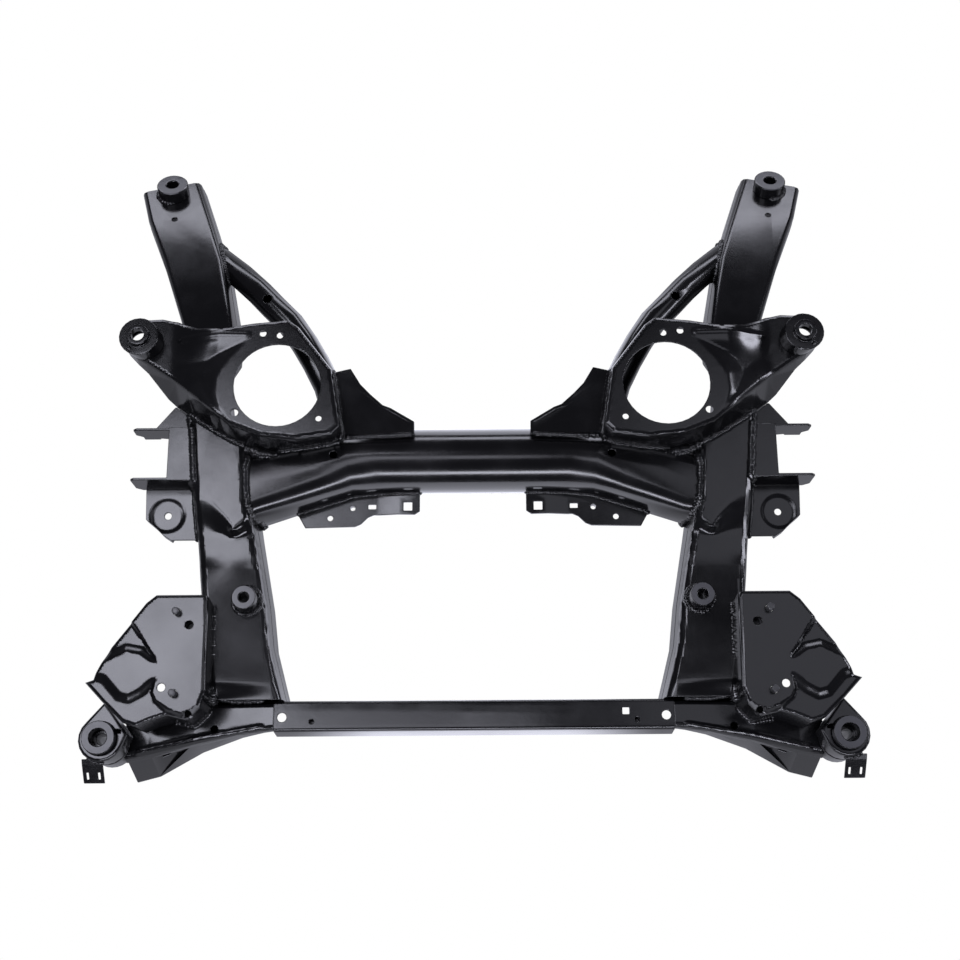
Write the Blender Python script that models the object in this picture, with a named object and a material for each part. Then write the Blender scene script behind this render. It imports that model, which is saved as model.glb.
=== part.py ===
"""Front subframe of a car: a welded sheet-steel cradle with two rails, a tube and a crossbar.

Sizes are in millimetres and objects in metres. +X is one side of the car, +Y its rear, +Z up.
The right half is modelled, and the left half shares its meshes mirrored.
"""
import math

import bmesh
import bpy
from mathutils import Matrix, Vector

MM = 0.001
SEAM = 0.3                # gap left between two welded pieces
SHEET = 3.0               # sheet thickness of rails, perches and boxes
BRACKET_SHEET = 3.0       # sheet thickness of the small brackets
FORE_AFT_CENTRE = 42.0    # the drawing's Y zero lies this far in front of the middle
CLEAR = 12.0              # how far a cutter runs past what it cuts
ROOT = 300.0              # blanks welded to the rail start here, inside it, and are trimmed

# Side rail sections, rear to front: Y, outer X, inner X, top height, depth
RAIL_SECTIONS = (
    (421, 423, 346, 45, 45),
    (353, 403, 323, 73, 54),
    (287, 376, 302, 96, 62),
    (192, 343, 283, 117, 72),
    (130, 334, 288, 119, 78),
    (84, 329, 282, 120, 82),
    (50, 325, 262, 120, 85),
    (-24, 319, 257, 120, 86),
    (-60, 315, 249, 109, 68),
    (-141, 305, 233, 108, 62),
    (-190, 299, 227, 108, 62),
    (-250, 290, 211, 106, 62),
)
RAIL_CORNER = 8.0         # outside radius along the rail's edges
RAIL_FLARE = 0.06         # how far the walls lean out for each unit of height
RAIL_LAP_TOP = 0.45       # the lower shell starts this share of the depth below the top
RAIL_LAP_LOW = 0.64       # the upper shell ends this share of the depth below the top
ARM_END_SLANT = 20.0      # the arm's end is cut this much shorter on its outer side
ARM_HOLE = (369.7, 353.8, 3.7)

# Cross tube between the rails
TUBE_RADIUS = 38.0
TUBE_HEIGHT = 79.5
TUBE_END_SQUARENESS = 0.45
TUBE_SIDES = 24
TUBE_PATH = ((0, 32.5), (112, 32.5), (146, 29), (182, 18), (250, -3), (290, -14))
TUBE_HOLE = (160.4, 29.7, 4.6)

# Front crossbar, an inverted channel between the inner ends of the front boxes
BOX_INNER_END = 222.2
CROSSBAR_REAR = -250.0
CROSSBAR_FRONT = -284.0
CROSSBAR_TOP = 95.0
CROSSBAR_DEPTH = 30.0
CROSSBAR_BEND = 4.0
CROSSBAR_SPLAY = 2.0
CROSSBAR_END_HOLE = (212.8, -268.3, 5.2)
CROSSBAR_SMALL_HOLE = (180.0, -273.2, 2.8)
CROSSBAR_SQUARE_HOLE = (168.0, -263.5, 7.5)

# Engine mount perch: X, Y, how far its skirt reaches down to the foot height, and its lean
PERCH_TOP = 172.0
PERCH_FOOT = 108.0
PERCH_OUTLINE = (
    (381, 186, 0.5, 0), (359, 187, 0.53, 0), (341, 183, 0.6, 0), (314, 170, 0.95, 0),
    (286, 166, 0.8, 0), (251, 172, 0.4, 0), (210, 176, 0.4, 0), (198, 167, 0.6, 0),
    (159, 115, 1, 0), (148, 47, 1.1, -5), (158, 37, 1.1, -9), (198, 31, 1.1, -9),
    (238, 35, 1.05, -2), (273, 49, 1, 5),
    (308, 78, 0.9, 14), (345, 111, 0.72, 15), (374, 131, 0.53, 5), (386, 138, 0.5, 2),
    (398, 148, 0.5, 0), (404, 158, 0.5, 0), (402, 173, 0.5, 0), (391, 185, 0.5, 0),
)
PERCH_BEND = 5.0
PERCH_FOLDS = ((284, 0), (298, 4), (324, 14), (340, 21))   # X and drop of the plate from there
PERCH_BORE = (219.9, 95.2, 49.3)
PERCH_HOLES = ((238.0, 158.0, 4.0), (218.5, 155.6, 4.0), (266.7, 62.5, 4.4), (172.2, 54.8, 3.6))

# Cap with a through collar on the outer ear of the perch
EAR_CENTRE = (380.2, 155.8)
EAR_CAP_RADIUS = 22.5
EAR_FOOT_RADIUS = 21.0
EAR_FOOT_SHIFT = 4.0      # the cap's foot lies this far further in than its top
EAR_RING_RADIUS = 12.8
EAR_RING_RISE = 6.0
EAR_BORE = 7.4
EAR_COLLAR_LENGTH = 10.0
EAR_SMALL_HOLE = (390.0, 141.0, 2.4)

# Collar on the rear end of the arm, square to the arm's slope
ARM_COLLAR_CENTRE = (376.3, 405.0, 68.0)
ARM_COLLAR_RADIUS = 19.3
ARM_COLLAR_BORE = 7.6
ARM_COLLAR_TILT = 24.0
ARM_COLLAR_LENGTH = 26.0

# Brace tube from the arm's inner wall to the cross tube: X, Y, height
BRACE_PATH = ((330, 318, 46), (306, 296, 66), (278, 268, 82), (256, 244, 92), (238, 223, 97),
              (217, 201, 98), (199.5, 175, 97), (185.5, 151, 95), (171.5, 123, 91), (161, 88, 85),
              (157, 50, 80))
BRACE_RADIUS = 16.5
BRACE_RISE = 1.15         # height of the section for each unit of width
BRACE_WALL = 2.5
BRACE_SIDES = 12
BRACE_HOLE = (243.5, 227.0, 5.5)

# Gusset between perch and cross tube: outline with its share of the way up from tube to perch
GUSSET_OUTLINE = ((168, 116, 0.94), (139, 122, 1.0), (128, 105, 0.82), (117, 95, 0.64),
                  (103, 84, 0.45), (94, 81, 0.4), (67, 67, 0.15), (67, 52, 0.0), (162, 50, 0.06))
GUSSET_BELOW_PERCH = 20.0
GUSSET_OVER_TUBE = 1.5
GUSSET_FLANGE = 18.0

# Steering rack sleeve on the rail
RACK_CENTRE = (254.5, -140.1)
RACK_RADIUS = 13.6
RACK_BORE = 5.9
RACK_RISE = 24.0
RACK_FOOT_RADIUS = 15.5
RACK_FOOT_HEIGHT = 5.0

# Link clevis on the rail's outer side: web edge and its ends, ears as X and drop below the top
CLEVIS_WEB = (351.0, 0.0, 64.0)
CLEVIS_TOP = 118.0
CLEVIS_EAR = ((ROOT, 0), (ROOT, 42), (345, 36), (385, 26), (393, 18), (393, 4), (389, 0))
CLEVIS_FRONT_EAR = ((ROOT, 0), (ROOT, 41), (386, 41), (393, 33), (393, 4), (389, 0))
CLEVIS_EAR_SPOTS = (62.0, 2.0)
CLEVIS_TONGUE = (367.0, 386.0, 22.0, 34.0)
CLEVIS_FIN = ((ROOT, 62), (369, 62), (346, 90), (ROOT, 90))
CLEVIS_FIN_DROP = 4.0

# Link lug, the lower plate ahead of the clevis: outline and heights
LUG_OUTLINE = ((382, 0.2), (316, 0.2), (316, -60), (351, -60), (360, -54), (369, -45), (381, -35))
LUG_REAR_HEIGHT = 80.0
LUG_FRONT_HEIGHT = 76.0
LUG_FLANGE = 14.0
LUG_HOLE = (355.5, -31.0, 4.2)

# Bracket along the cross tube: X, and Y from the tube's front face
BRACKET_OUTLINE = ((62, 5.5), (62, -21.5), (68, -25.5), (116, -24.5), (123, -27.5), (131, -35.5),
                   (138, -38.5), (196, -39.5), (205, -23.5), (170, 1.5), (140, 5.5))
BRACKET_BELOW_AXIS = 3.5  # from the tube's axis down to the bracket's top
BRACKET_STEP = (88.0, 110.0, 5.0)
BRACKET_HOLE = (167.0, -28.0, 3.4)
BRACKET_NUT_HOLE = (140.8, -16.0, 3.2)
BRACKET_SLOT = (118.0, -14.5, 9.0, 5.5)
BRACKET_SQUARE = (76.0, -15.5, 10.0, 10.0)
NUT_RADIUS = 7.2
NUT_HEIGHT = 6.0
CAP_NUT_WALL = 3.0        # wall and floor of the closed nuts under the two blind holes
CAP_NUT_HEIGHT = 12.0

# Corner mount plate: X, Y and how far its skirt reaches down to the foot height
CORNER_BORDER = 147.0
CORNER_RISE = 5.0
CORNER_FOOT = 84.0
CORNER_OUTLINE = (
    (347, -141, 0.2), (292, -141, 0.2), (290, -148, 0.75), (288, -246, 0.75), (294, -264, 0.97),
    (308, -277, 1.0), (330, -272, 1.0), (346, -277, 0.87), (362, -284, 0.87), (377, -279, 0.68),
    (400, -257, 0.5), (420, -236, 0.4), (411, -233, 0.34), (394, -198, 0.28), (358, -150, 0.2),
)
CORNER_BEND = 4.0
CORNER_PAD = ((345, -149), (299, -149), (298, -224), (294, -246), (296, -259), (309, -271),
              (329, -268), (343, -261), (349, -250), (347, -216), (364, -188), (358, -164))
CORNER_BULGE = ((396, -218), (385, -204), (373, -203), (361, -210), (353, -223), (353, -236),
                (361, -251), (377, -243), (390, -232))
EMBOSS_SLOPE = 5.5
CORNER_HOLES = ((309.0, -175.0, 4.8), (335.7, -243.0, 4.6))
CORNER_EDGE_HOLE = (306.3, -271.0, 3.6)
CORNER_STUDS = ((322.7, -161.0), (322.1, -250.0))
STUD_RADIUS = 4.0
STUD_LENGTH = 16.0
STUD_ABOVE = 11.0

# Front sleeve with the bush bore, its hoop and the sensor tab
SLEEVE_CENTRE = (407.3, -292.3)
SLEEVE_RISE = 11.0
SLEEVE_LOW = 50.0
SLEEVE_LEDGE = 20.0
SLEEVE_RADIUS = 21.4
SLEEVE_FOOT_RADIUS = 25.0
SLEEVE_HEAD_RADIUS = 18.3
SLEEVE_BORE = 9.7
SLEEVE_INNER_BORE = 6.2
HOOP_TOP = 114.0
HOOP_LOW = 84.0
HOOP_RADIUS = 25.0
HOOP_BEND = 3.5
HOOP_APEX = (405.0, -252.0)
HOOP_INNER_CORNER = (378.0, -288.0)
HOOP_SLOT = (388.5, -284.5, 6.5, 4.5)
TAB_WIDTH = 23.0
TAB_CENTRE = 416.5
TAB_REAR = (27.2, 10.0)   # ahead of the sleeve's axis, and below the hoop's top
TAB_FRONT = (45.7, 24.0)
TAB_SLOT = (2.6, 7.0)

# Front box sections, inner end to outer end: X, rear Y, front top Y, front low Y, top, bottom
BOX_SECTIONS = (
    (BOX_INNER_END, -252, -281, -283, CROSSBAR_TOP, 64),
    (262, -252, -286, -289, 92, 44),
    (310, -252, -295, -303, 88, 22),
    (362, -254, -304, -329, 79, 6),
    (389, -262, -309, -335, 76, 0),
)
BOX_CORNER = 5.0
BOX_REAR_LAP = 0.45
BOX_LIP = 9.0
BOX_SEAM = 0.9            # wider than elsewhere, since these walls twist along the box
BOX_HOLE = (287.8, -280.3, 4.4)
BOX_SLOTS = ((281.0, 70.0), (315.0, 54.0), (347.0, 52.0))
BOX_SLOT_SIZE = (9.0, 4.0)
BOX_GUSSET = ((300, -252), (300, -233), (288, -233), (272, -248), (272, -252))

PAINT = (0.012, 0.012, 0.013)
BARE = (0.05, 0.05, 0.052)


# Small geometry helpers

def pull_in(points, inset):
    """Offset a counter-clockwise outline inwards, evenly or by a distance for each point."""
    insets = inset if isinstance(inset, list) else [inset] * len(points)
    moved = []
    for index, here in enumerate(points):
        before = Vector(points[index - 1])
        after = Vector(points[(index + 1) % len(points)])
        here = Vector(here)
        left_a = (here - before).normalized().orthogonal()
        left_b = (after - here).normalized().orthogonal()
        middle = (left_a + left_b).normalized()
        moved.append(here + middle * insets[index] / max(0.4, middle.dot(left_a)))
    return [tuple(point) for point in moved]


def offset_path(path, inset):
    """Offset an open path to its right by an even distance."""
    moved = []
    for index, here in enumerate(path):
        here = Vector(here)
        sides = []
        if index:
            sides.append((here - Vector(path[index - 1])).normalized().orthogonal())
        if index < len(path) - 1:
            sides.append((Vector(path[index + 1]) - here).normalized().orthogonal())
        middle = sum(sides, Vector((0, 0))).normalized()
        moved.append(here - middle * inset / max(0.4, middle.dot(sides[0])))
    return [tuple(point) for point in moved]


def arc(centre, radius, start, end, steps):
    """Points along an arc, angles in degrees."""
    return [(centre[0] + radius * math.cos(math.radians(start + (end - start) * i / steps)),
             centre[1] + radius * math.sin(math.radians(start + (end - start) * i / steps)))
            for i in range(steps + 1)]


def add_object(name, vertices, faces):
    """Make an object from vertices in millimetres, with its faces turned outwards."""
    mesh = bpy.data.meshes.new(name)
    mesh.from_pydata([Vector(vertex) * MM for vertex in vertices], [], faces)
    form = bmesh.new()
    form.from_mesh(mesh)
    bmesh.ops.recalc_face_normals(form, faces=form.faces)
    if form.calc_volume(signed=True) < 0:
        bmesh.ops.reverse_faces(form, faces=form.faces)
    form.to_mesh(mesh)
    form.free()
    obj = bpy.data.objects.new(name, mesh)
    bpy.context.scene.collection.objects.link(obj)
    return obj


def loft_solid(name, rings):
    """Close a stack of equal rings into one solid."""
    count = len(rings[0])
    vertices = [point for ring in rings for point in ring]
    faces = [tuple(range(count)), tuple(range(len(vertices) - count, len(vertices)))]
    for row in range(len(rings) - 1):
        for i in range(count):
            j = (i + 1) % count
            faces.append((row * count + i, row * count + j,
                          (row + 1) * count + j, (row + 1) * count + i))
    return add_object(name, vertices, faces)


def loft_sheet(name, outer, inner, closed):
    """Join an outer and an inner skin of rows into one wall, open or closed round the row."""
    count, rows = len(outer[0]), len(outer)
    vertices = [point for row in outer + inner for point in row]
    shift = count * rows
    faces = []
    spans = count if closed else count - 1
    for row in range(rows - 1):
        for i in range(spans):
            j = (i + 1) % count
            quad = (row * count + i, row * count + j, (row + 1) * count + j, (row + 1) * count + i)
            faces.append(quad)
            faces.append(tuple(shift + corner for corner in reversed(quad)))
        if not closed:
            for i in (0, count - 1):
                a, b = row * count + i, (row + 1) * count + i
                faces.append((a, b, shift + b, shift + a))
    for row in (0, rows - 1):
        for i in range(spans):
            a, b = row * count + i, row * count + (i + 1) % count
            faces.append((a, b, shift + b, shift + a))
    return add_object(name, vertices, faces)


def prism(name, outline, low, high):
    """Extrude an outline between two heights."""
    return loft_solid(name, [[(x, y, z) for x, y in outline] for z in (low, high)])


def block(name, x_range, y_range, z_range):
    """A plain box between three ranges."""
    x0, x1 = sorted(x_range)
    y0, y1 = sorted(y_range)
    return prism(name, [(x0, y0), (x1, y0), (x1, y1), (x0, y1)], min(z_range), max(z_range))


def cylinder(name, centre, radius, low, high, steps=24):
    """An upright cylinder between two heights."""
    ring = arc(centre, radius, 0, 360 - 360 / steps, steps - 1)
    return prism(name, ring, low, high)


def turned(name, profile, steps=24):
    """Revolve a closed radius and height profile about the upright axis."""
    vertices = [(x, y, height) for radius, height in profile
                for x, y in arc((0, 0), radius, 0, 360 - 360 / steps, steps - 1)]
    faces = []
    for row in range(len(profile)):
        below = (row + 1) % len(profile)
        for i in range(steps):
            j = (i + 1) % steps
            faces.append((row * steps + i, row * steps + j, below * steps + j, below * steps + i))
    return add_object(name, vertices, faces)


def pan(name, flat, lows, top, bend, leans=None):
    """A pressed plate with a skirt all round: each point has its own lower edge and lean."""
    leans = leans or [0.0] * len(flat)
    crease = max(bend - SHEET, 0.8)

    def ring(insets, heights):
        heights = heights if isinstance(heights, list) else [heights] * len(flat)
        return [(x, y, z) for (x, y), z in zip(pull_in(flat, insets), heights)]

    outside = [ring(bend, top), ring(bend * 0.3, top - bend * 0.3), ring(0, top - bend),
               ring([-lean for lean in leans], lows)]
    inside = [ring([SHEET - lean for lean in leans], lows), ring(SHEET, top - SHEET - crease),
              ring(SHEET + crease * 0.3, top - SHEET - crease * 0.3),
              ring(SHEET + crease, top - SHEET)]
    return loft_solid(name, outside + inside)


def emboss(obj, outline, level):
    """Press a raised field with sloping sides into a level sheet whose top is at a height."""
    high = level + CORNER_RISE

    def field(inset, low, top):
        return loft_solid("field", [[(x, y, low) for x, y in pull_in(outline, inset)],
                                    [(x, y, top) for x, y in pull_in(outline, inset + EMBOSS_SLOPE)]])

    join(obj, field(0.0, level - SHEET / 2, high))
    return cut(obj, field(SHEET / 2, level - SHEET - 1, high - SHEET))


def fold(obj, folds):
    """Bend a plate down in steps: each fold line is an X in millimetres with its drop."""
    form = bmesh.new()
    form.from_mesh(obj.data)
    for x, _ in folds:
        parts = form.verts[:] + form.edges[:] + form.faces[:]
        bmesh.ops.bisect_plane(form, geom=parts, dist=1e-7, plane_co=(x * MM, 0, 0),
                               plane_no=(1, 0, 0))
    for vertex in form.verts:
        vertex.co.z -= fold_drop(vertex.co.x / MM, folds) * MM
    form.to_mesh(obj.data)
    form.free()
    return obj


def fold_drop(x, folds):
    """How far a folded plate lies below its level part at an X."""
    if x <= folds[0][0]:
        return 0.0
    for (start, high), (end, low) in zip(folds, folds[1:]):
        if x <= end:
            return high + (low - high) * (x - start) / (end - start)
    return folds[-1][1]


def plate(name, outline, sheet):
    """A flat or gently bent plate whose outline carries the height of its top face."""
    return loft_solid(name, [[(x, y, z) for x, y, z in outline],
                             [(x, y, z - sheet) for x, y, z in outline]])


def cut(obj, *cutters):
    """Take the cutters out of an object with exact Booleans, and remove them."""
    for cutter in cutters:
        change = obj.modifiers.new("cut", "BOOLEAN")
        change.operation = "DIFFERENCE"
        change.solver = "EXACT"
        change.object = cutter
        settle(obj)
        bpy.data.objects.remove(cutter)
    return obj


def join(obj, *others):
    """Merge other solids into an object with exact Booleans."""
    for other in others:
        change = obj.modifiers.new("join", "BOOLEAN")
        change.operation = "UNION"
        change.solver = "EXACT"
        change.object = other
        settle(obj)
        bpy.data.objects.remove(other)
    return obj


def settle(obj):
    """Replace an object's mesh with its modified form."""
    bpy.context.view_layer.update()
    graph = bpy.context.evaluated_depsgraph_get()
    mesh = bpy.data.meshes.new_from_object(obj.evaluated_get(graph))
    obj.modifiers.clear()
    obj.data = mesh


def drill(obj, holes, height, reach=CLEAR):
    """Round holes down through a sheet near a height, each given as X, Y and radius."""
    for x, y, radius in holes:
        steps = 12 if radius < 6 else 24 if radius < 25 else 40
        cut(obj, cylinder("drill", (x, y), radius, height - reach, height + reach, steps))
    return obj


def punch(obj, spot, size, height, reach=CLEAR):
    """A rectangular hole down through a sheet near a height."""
    (x, y), (length, width) = spot, size
    return cut(obj, block("punch", (x - length / 2, x + length / 2),
                          (y - width / 2, y + width / 2), (height - reach, height + reach)))


def paint(obj, colour=PAINT, roughness=0.28, metallic=0.0):
    """Give a piece its own painted or bare material."""
    material = bpy.data.materials.new(obj.name + "_finish")
    material.use_nodes = True
    shader = material.node_tree.nodes["Principled BSDF"]
    shader.inputs["Base Color"].default_value = (*colour, 1.0)
    shader.inputs["Roughness"].default_value = roughness
    shader.inputs["Metallic"].default_value = metallic
    obj.data.materials.clear()
    obj.data.materials.append(material)
    return obj


# Side rail

def rail_wall(edge, way, top, height):
    """X of a rail wall at a height: way is -1 for the inner wall and 1 for the outer one."""
    return edge + way * RAIL_FLARE * max(0.0, top - RAIL_CORNER - height)


def rail_row(section, grow, low, high, roofed):
    """The path round one rail section, from the inner wall to the outer one."""
    y, outer, inner, top, depth = section
    bottom = top - depth
    corner, cut_off = RAIL_CORNER, RAIL_CORNER * 0.3

    def wall(way, height):
        edge = inner if way < 0 else outer
        return rail_wall(edge, way, top, height) + way * grow

    if roofed:
        peak = top + grow
        half = [(low, 0.0), (top - corner, 0.0), (peak - cut_off, cut_off), (peak, corner)]
    else:
        half = [(high, 0.0), (bottom + corner, 0.0), (bottom + cut_off, cut_off),
                (bottom, corner)]
    left = [(wall(-1, z) + into, z) for z, into in half]
    right = [(wall(1, z) - into, z) for z, into in reversed(half)]
    return left + right


def arm_end_cutter():
    """Wedge that cuts the arm's rear end on the slant."""
    y, outer, inner, top, depth = RAIL_SECTIONS[0]
    slope = ARM_END_SLANT / (outer - inner)
    far = outer + CLEAR
    return prism("arm_end", [(inner, y), (far, y - slope * (far - inner)), (far, y + CLEAR),
                             (inner, y + CLEAR)], top - depth - CLEAR, top + CLEAR)


def rail_shell(name, roofed):
    """Upper or lower pressed shell of the rail."""
    outer, inner = [], []
    for section in RAIL_SECTIONS:
        top, depth = section[3:]
        if roofed:
            path = rail_row(section, 0.0, top - depth * RAIL_LAP_LOW, 0, True)
            skin = offset_path(path, SHEET)
        else:
            path = rail_row(section, SHEET + SEAM, 0, top - depth * RAIL_LAP_TOP, False)
            skin = offset_path(path, -SHEET)
        outer.append([(x, section[0], z) for x, z in path])
        inner.append([(x, section[0], z) for x, z in skin])
    return loft_sheet(name, outer, inner, False)


def rail_envelope(grow=SEAM):
    """A solid just larger than both rail shells, for trimming what is welded to them."""
    rings = []
    for section in RAIL_SECTIONS:
        top, depth = section[3:]
        step = top - depth * RAIL_LAP_TOP + grow
        roof = rail_row(section, grow, step, 0, True)
        floor = rail_row(section, SHEET + SEAM + grow, 0, step, False)
        floor = [(x, z - (grow if z < step else 0)) for x, z in floor]
        rings.append([(x, section[0], z) for x, z in roof + list(reversed(floor))])
    slope = (RAIL_SECTIONS[1][3] - RAIL_SECTIONS[0][3]) / (RAIL_SECTIONS[1][0] - RAIL_SECTIONS[0][0])
    rings[0] = [(x, y + CLEAR, z + CLEAR * slope) for x, y, z in rings[0]]
    rings[-1] = [(x, y - grow, z) for x, y, z in rings[-1]]
    return loft_solid("rail_envelope", rings)


def rail_top(y):
    """Height of the rail's top at the section nearest to a place along the car."""
    return min(RAIL_SECTIONS, key=lambda section: abs(section[0] - y))[3]


def side_rail():
    """Both shells of the rail with the hole in the arm."""
    upper = cut(rail_shell("side_rail_upper", True), arm_end_cutter())
    drill(upper, [ARM_HOLE], RAIL_SECTIONS[1][3])
    lower = cut(rail_shell("side_rail_lower", False), arm_end_cutter())
    return [paint(upper), paint(lower)]


# Cross tube

def tube_rings(radius):
    """Rings along the cross tube, round in the middle and squarer at its ends."""
    path = [(-x, y) for x, y in reversed(TUBE_PATH[1:])] + list(TUBE_PATH)
    rings = []
    for index, (x, y) in enumerate(path):
        before = Vector(path[max(0, index - 1)])
        after = Vector(path[min(len(path) - 1, index + 1)])
        along = (after - before).normalized()
        side = Vector((-along.y, along.x))
        square = TUBE_END_SQUARENESS * min(1.0, max(0.0, (abs(x) - 130) / 90))
        power = 1.0 - square
        ring = []
        for i in range(TUBE_SIDES):
            turn = 2 * math.pi * i / TUBE_SIDES
            across = math.copysign(abs(math.cos(turn)) ** power, math.cos(turn))
            up = math.copysign(abs(math.sin(turn)) ** power, math.sin(turn))
            spot = Vector((x, y)) + side * radius * across
            ring.append((spot.x, spot.y, TUBE_HEIGHT + radius * up))
        rings.append(ring)
    return rings


def tube_envelope(grow=SEAM):
    """A solid just larger than the cross tube."""
    return loft_solid("tube_envelope", tube_rings(TUBE_RADIUS + grow))


def cross_tube():
    """The bent cross tube, fitted between the rails, with a hole near each end."""
    tube = loft_sheet("cross_tube", tube_rings(TUBE_RADIUS), tube_rings(TUBE_RADIUS - SHEET), True)
    right = rail_envelope()
    left = mirrored_cutter(rail_envelope())
    cut(tube, right, left)
    keep_largest(tube)
    x, y, radius = TUBE_HOLE
    drill(tube, [(x, y, radius), (-x, y, radius)], TUBE_HEIGHT + TUBE_RADIUS)
    return paint(tube)


def mirrored_cutter(obj):
    """Flip a cutter to the other side of the car."""
    obj.data.transform(Matrix.Scale(-1, 4, (1, 0, 0)))
    obj.data.flip_normals()
    return obj


# Front crossbar

def front_crossbar():
    """Inverted channel between the front boxes."""
    top, low = CROSSBAR_TOP, CROSSBAR_TOP - CROSSBAR_DEPTH
    front, rear, bend = CROSSBAR_FRONT, CROSSBAR_REAR, CROSSBAR_BEND
    section = [(front - CROSSBAR_SPLAY, low), (front, top - bend),
               (front + bend * 0.3, top - bend * 0.3), (front + bend, top), (rear - bend, top),
               (rear - bend * 0.3, top - bend * 0.3), (rear, top - bend), (rear, low)]
    skin = offset_path(section, BRACKET_SHEET)
    reach = BOX_INNER_END - SEAM
    bar = loft_sheet("front_crossbar", [[(x, y, z) for y, z in section] for x in (-reach, reach)],
                     [[(x, y, z) for y, z in skin] for x in (-reach, reach)], False)
    for x, y, radius in (CROSSBAR_END_HOLE, CROSSBAR_SMALL_HOLE):
        drill(bar, [(x, y, radius), (-x, y, radius)], top)
    x, y, size = CROSSBAR_SQUARE_HOLE
    punch(bar, (x, y), (size, size), top)
    return paint(bar)


# Engine mount perch

def perch_points():
    """The perch's outline with its skirt's lower heights and leans."""
    flat = [(x, y) for x, y, _, _ in PERCH_OUTLINE]
    lows = [PERCH_TOP - share * (PERCH_TOP - PERCH_FOOT) + 0.5 * fold_drop(x, PERCH_FOLDS)
            for x, _, share, _ in PERCH_OUTLINE]
    return flat, lows, [lean for _, _, _, lean in PERCH_OUTLINE]


def perch_envelope(grow=SEAM):
    """A solid just larger than the perch and all that lies below it."""
    flat, lows, leans = perch_points()
    foot = pull_in(flat, [-grow - lean for lean in leans])
    head = pull_in(flat, -grow)
    return loft_solid("perch_envelope", [
        [(x, y, 0) for x, y in foot], [(x, y, z) for (x, y), z in zip(foot, lows)],
        [(x, y, PERCH_TOP - PERCH_BEND + grow) for x, y in head],
        [(x, y, PERCH_TOP + grow) for x, y in head]])


def mount_perch():
    """Plate with the big engine mount bore, skirted down to the rail, tube and brace."""
    flat, lows, leans = perch_points()
    perch = fold(pan("mount_perch", flat, lows, PERCH_TOP, PERCH_BEND, leans), PERCH_FOLDS)
    cut(perch, rail_envelope(), tube_envelope(), brace_envelope())
    keep_largest(perch)
    drill(perch, (PERCH_BORE,) + PERCH_HOLES, PERCH_TOP)
    drill(perch, [(*EAR_CENTRE, EAR_RING_RADIUS + SEAM)], PERCH_TOP - PERCH_FOLDS[-1][1])
    return paint(perch)


def perch_ear_collar():
    """Pressed cap on the perch's ear with the welded collar that takes the body bolt."""
    top = PERCH_TOP + EAR_RING_RISE
    low, edge = top - EAR_COLLAR_LENGTH, 1.0
    foot = PERCH_TOP - PERCH_FOLDS[-1][1] + SEAM
    under = PERCH_TOP - SHEET
    collar = turned("perch_ear_collar", (
        (EAR_BORE, top - edge), (EAR_BORE + edge, top), (EAR_RING_RADIUS - edge, top),
        (EAR_RING_RADIUS, top - edge), (EAR_RING_RADIUS, PERCH_TOP),
        (EAR_CAP_RADIUS - edge, PERCH_TOP), (EAR_CAP_RADIUS, PERCH_TOP - edge),
        (EAR_FOOT_RADIUS, foot), (EAR_FOOT_RADIUS - SHEET, foot), (EAR_CAP_RADIUS - SHEET, under),
        (EAR_RING_RADIUS, under), (EAR_RING_RADIUS, low), (EAR_BORE, low)))
    for vertex in collar.data.vertices:
        if abs(vertex.co.z / MM - foot) < 0.01 and vertex.co.xy.length > EAR_RING_RADIUS * MM:
            vertex.co.x -= EAR_FOOT_SHIFT * MM
    collar.data.transform(Matrix.Translation(Vector((*EAR_CENTRE, 0)) * MM))
    drill(collar, [EAR_SMALL_HOLE], PERCH_TOP, CLEAR / 2)
    return paint(collar)


# Arm collar

def arm_collar():
    """Collar on the arm's rear end, cut to sit on the sloping sheet."""
    edge = 1.2
    collar = turned("arm_collar", (
        (ARM_COLLAR_BORE, -edge), (ARM_COLLAR_BORE + edge, 0), (ARM_COLLAR_RADIUS - edge, 0),
        (ARM_COLLAR_RADIUS, -edge), (ARM_COLLAR_RADIUS, -ARM_COLLAR_LENGTH),
        (ARM_COLLAR_BORE, -ARM_COLLAR_LENGTH)))
    place = Matrix.Translation(Vector(ARM_COLLAR_CENTRE) * MM)
    collar.data.transform(place @ Matrix.Rotation(math.radians(-ARM_COLLAR_TILT), 4, "X"))
    cut(collar, rail_envelope())
    keep_largest(collar)
    return paint(collar)


def keep_largest(obj):
    """Drop loose offcuts that a trim leaves, keeping the biggest piece."""
    form = bmesh.new()
    form.from_mesh(obj.data)
    left = set(form.verts)
    shells = []
    while left:
        stack, shell = [left.pop()], set()
        while stack:
            vertex = stack.pop()
            shell.add(vertex)
            for edge in vertex.link_edges:
                other = edge.other_vert(vertex)
                if other in left:
                    left.discard(other)
                    stack.append(other)
        shells.append(shell)
    shells.sort(key=spread, reverse=True)
    for shell in shells[1:]:
        bmesh.ops.delete(form, geom=list(shell), context="VERTS")
    form.to_mesh(obj.data)
    form.free()


def spread(shell):
    """Diagonal of the box round some vertices."""
    places = [vertex.co for vertex in shell]
    low = Vector([min(place[axis] for place in places) for axis in range(3)])
    high = Vector([max(place[axis] for place in places) for axis in range(3)])
    return (high - low).length


# Brace

def brace_rings(radius):
    """Rings along the curved brace tube."""
    rings = []
    for index, place in enumerate(BRACE_PATH):
        before = Vector(BRACE_PATH[max(0, index - 1)])
        after = Vector(BRACE_PATH[min(len(BRACE_PATH) - 1, index + 1)])
        along = (after - before).normalized()
        side = Vector((-along.y, along.x, 0)).normalized()
        up = along.cross(side)
        ring = []
        for i in range(BRACE_SIDES):
            turn = 2 * math.pi * i / BRACE_SIDES
            ring.append(tuple(Vector(place) + side * radius * math.cos(turn)
                              + up * radius * BRACE_RISE * math.sin(turn)))
        rings.append(ring)
    return rings


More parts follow.
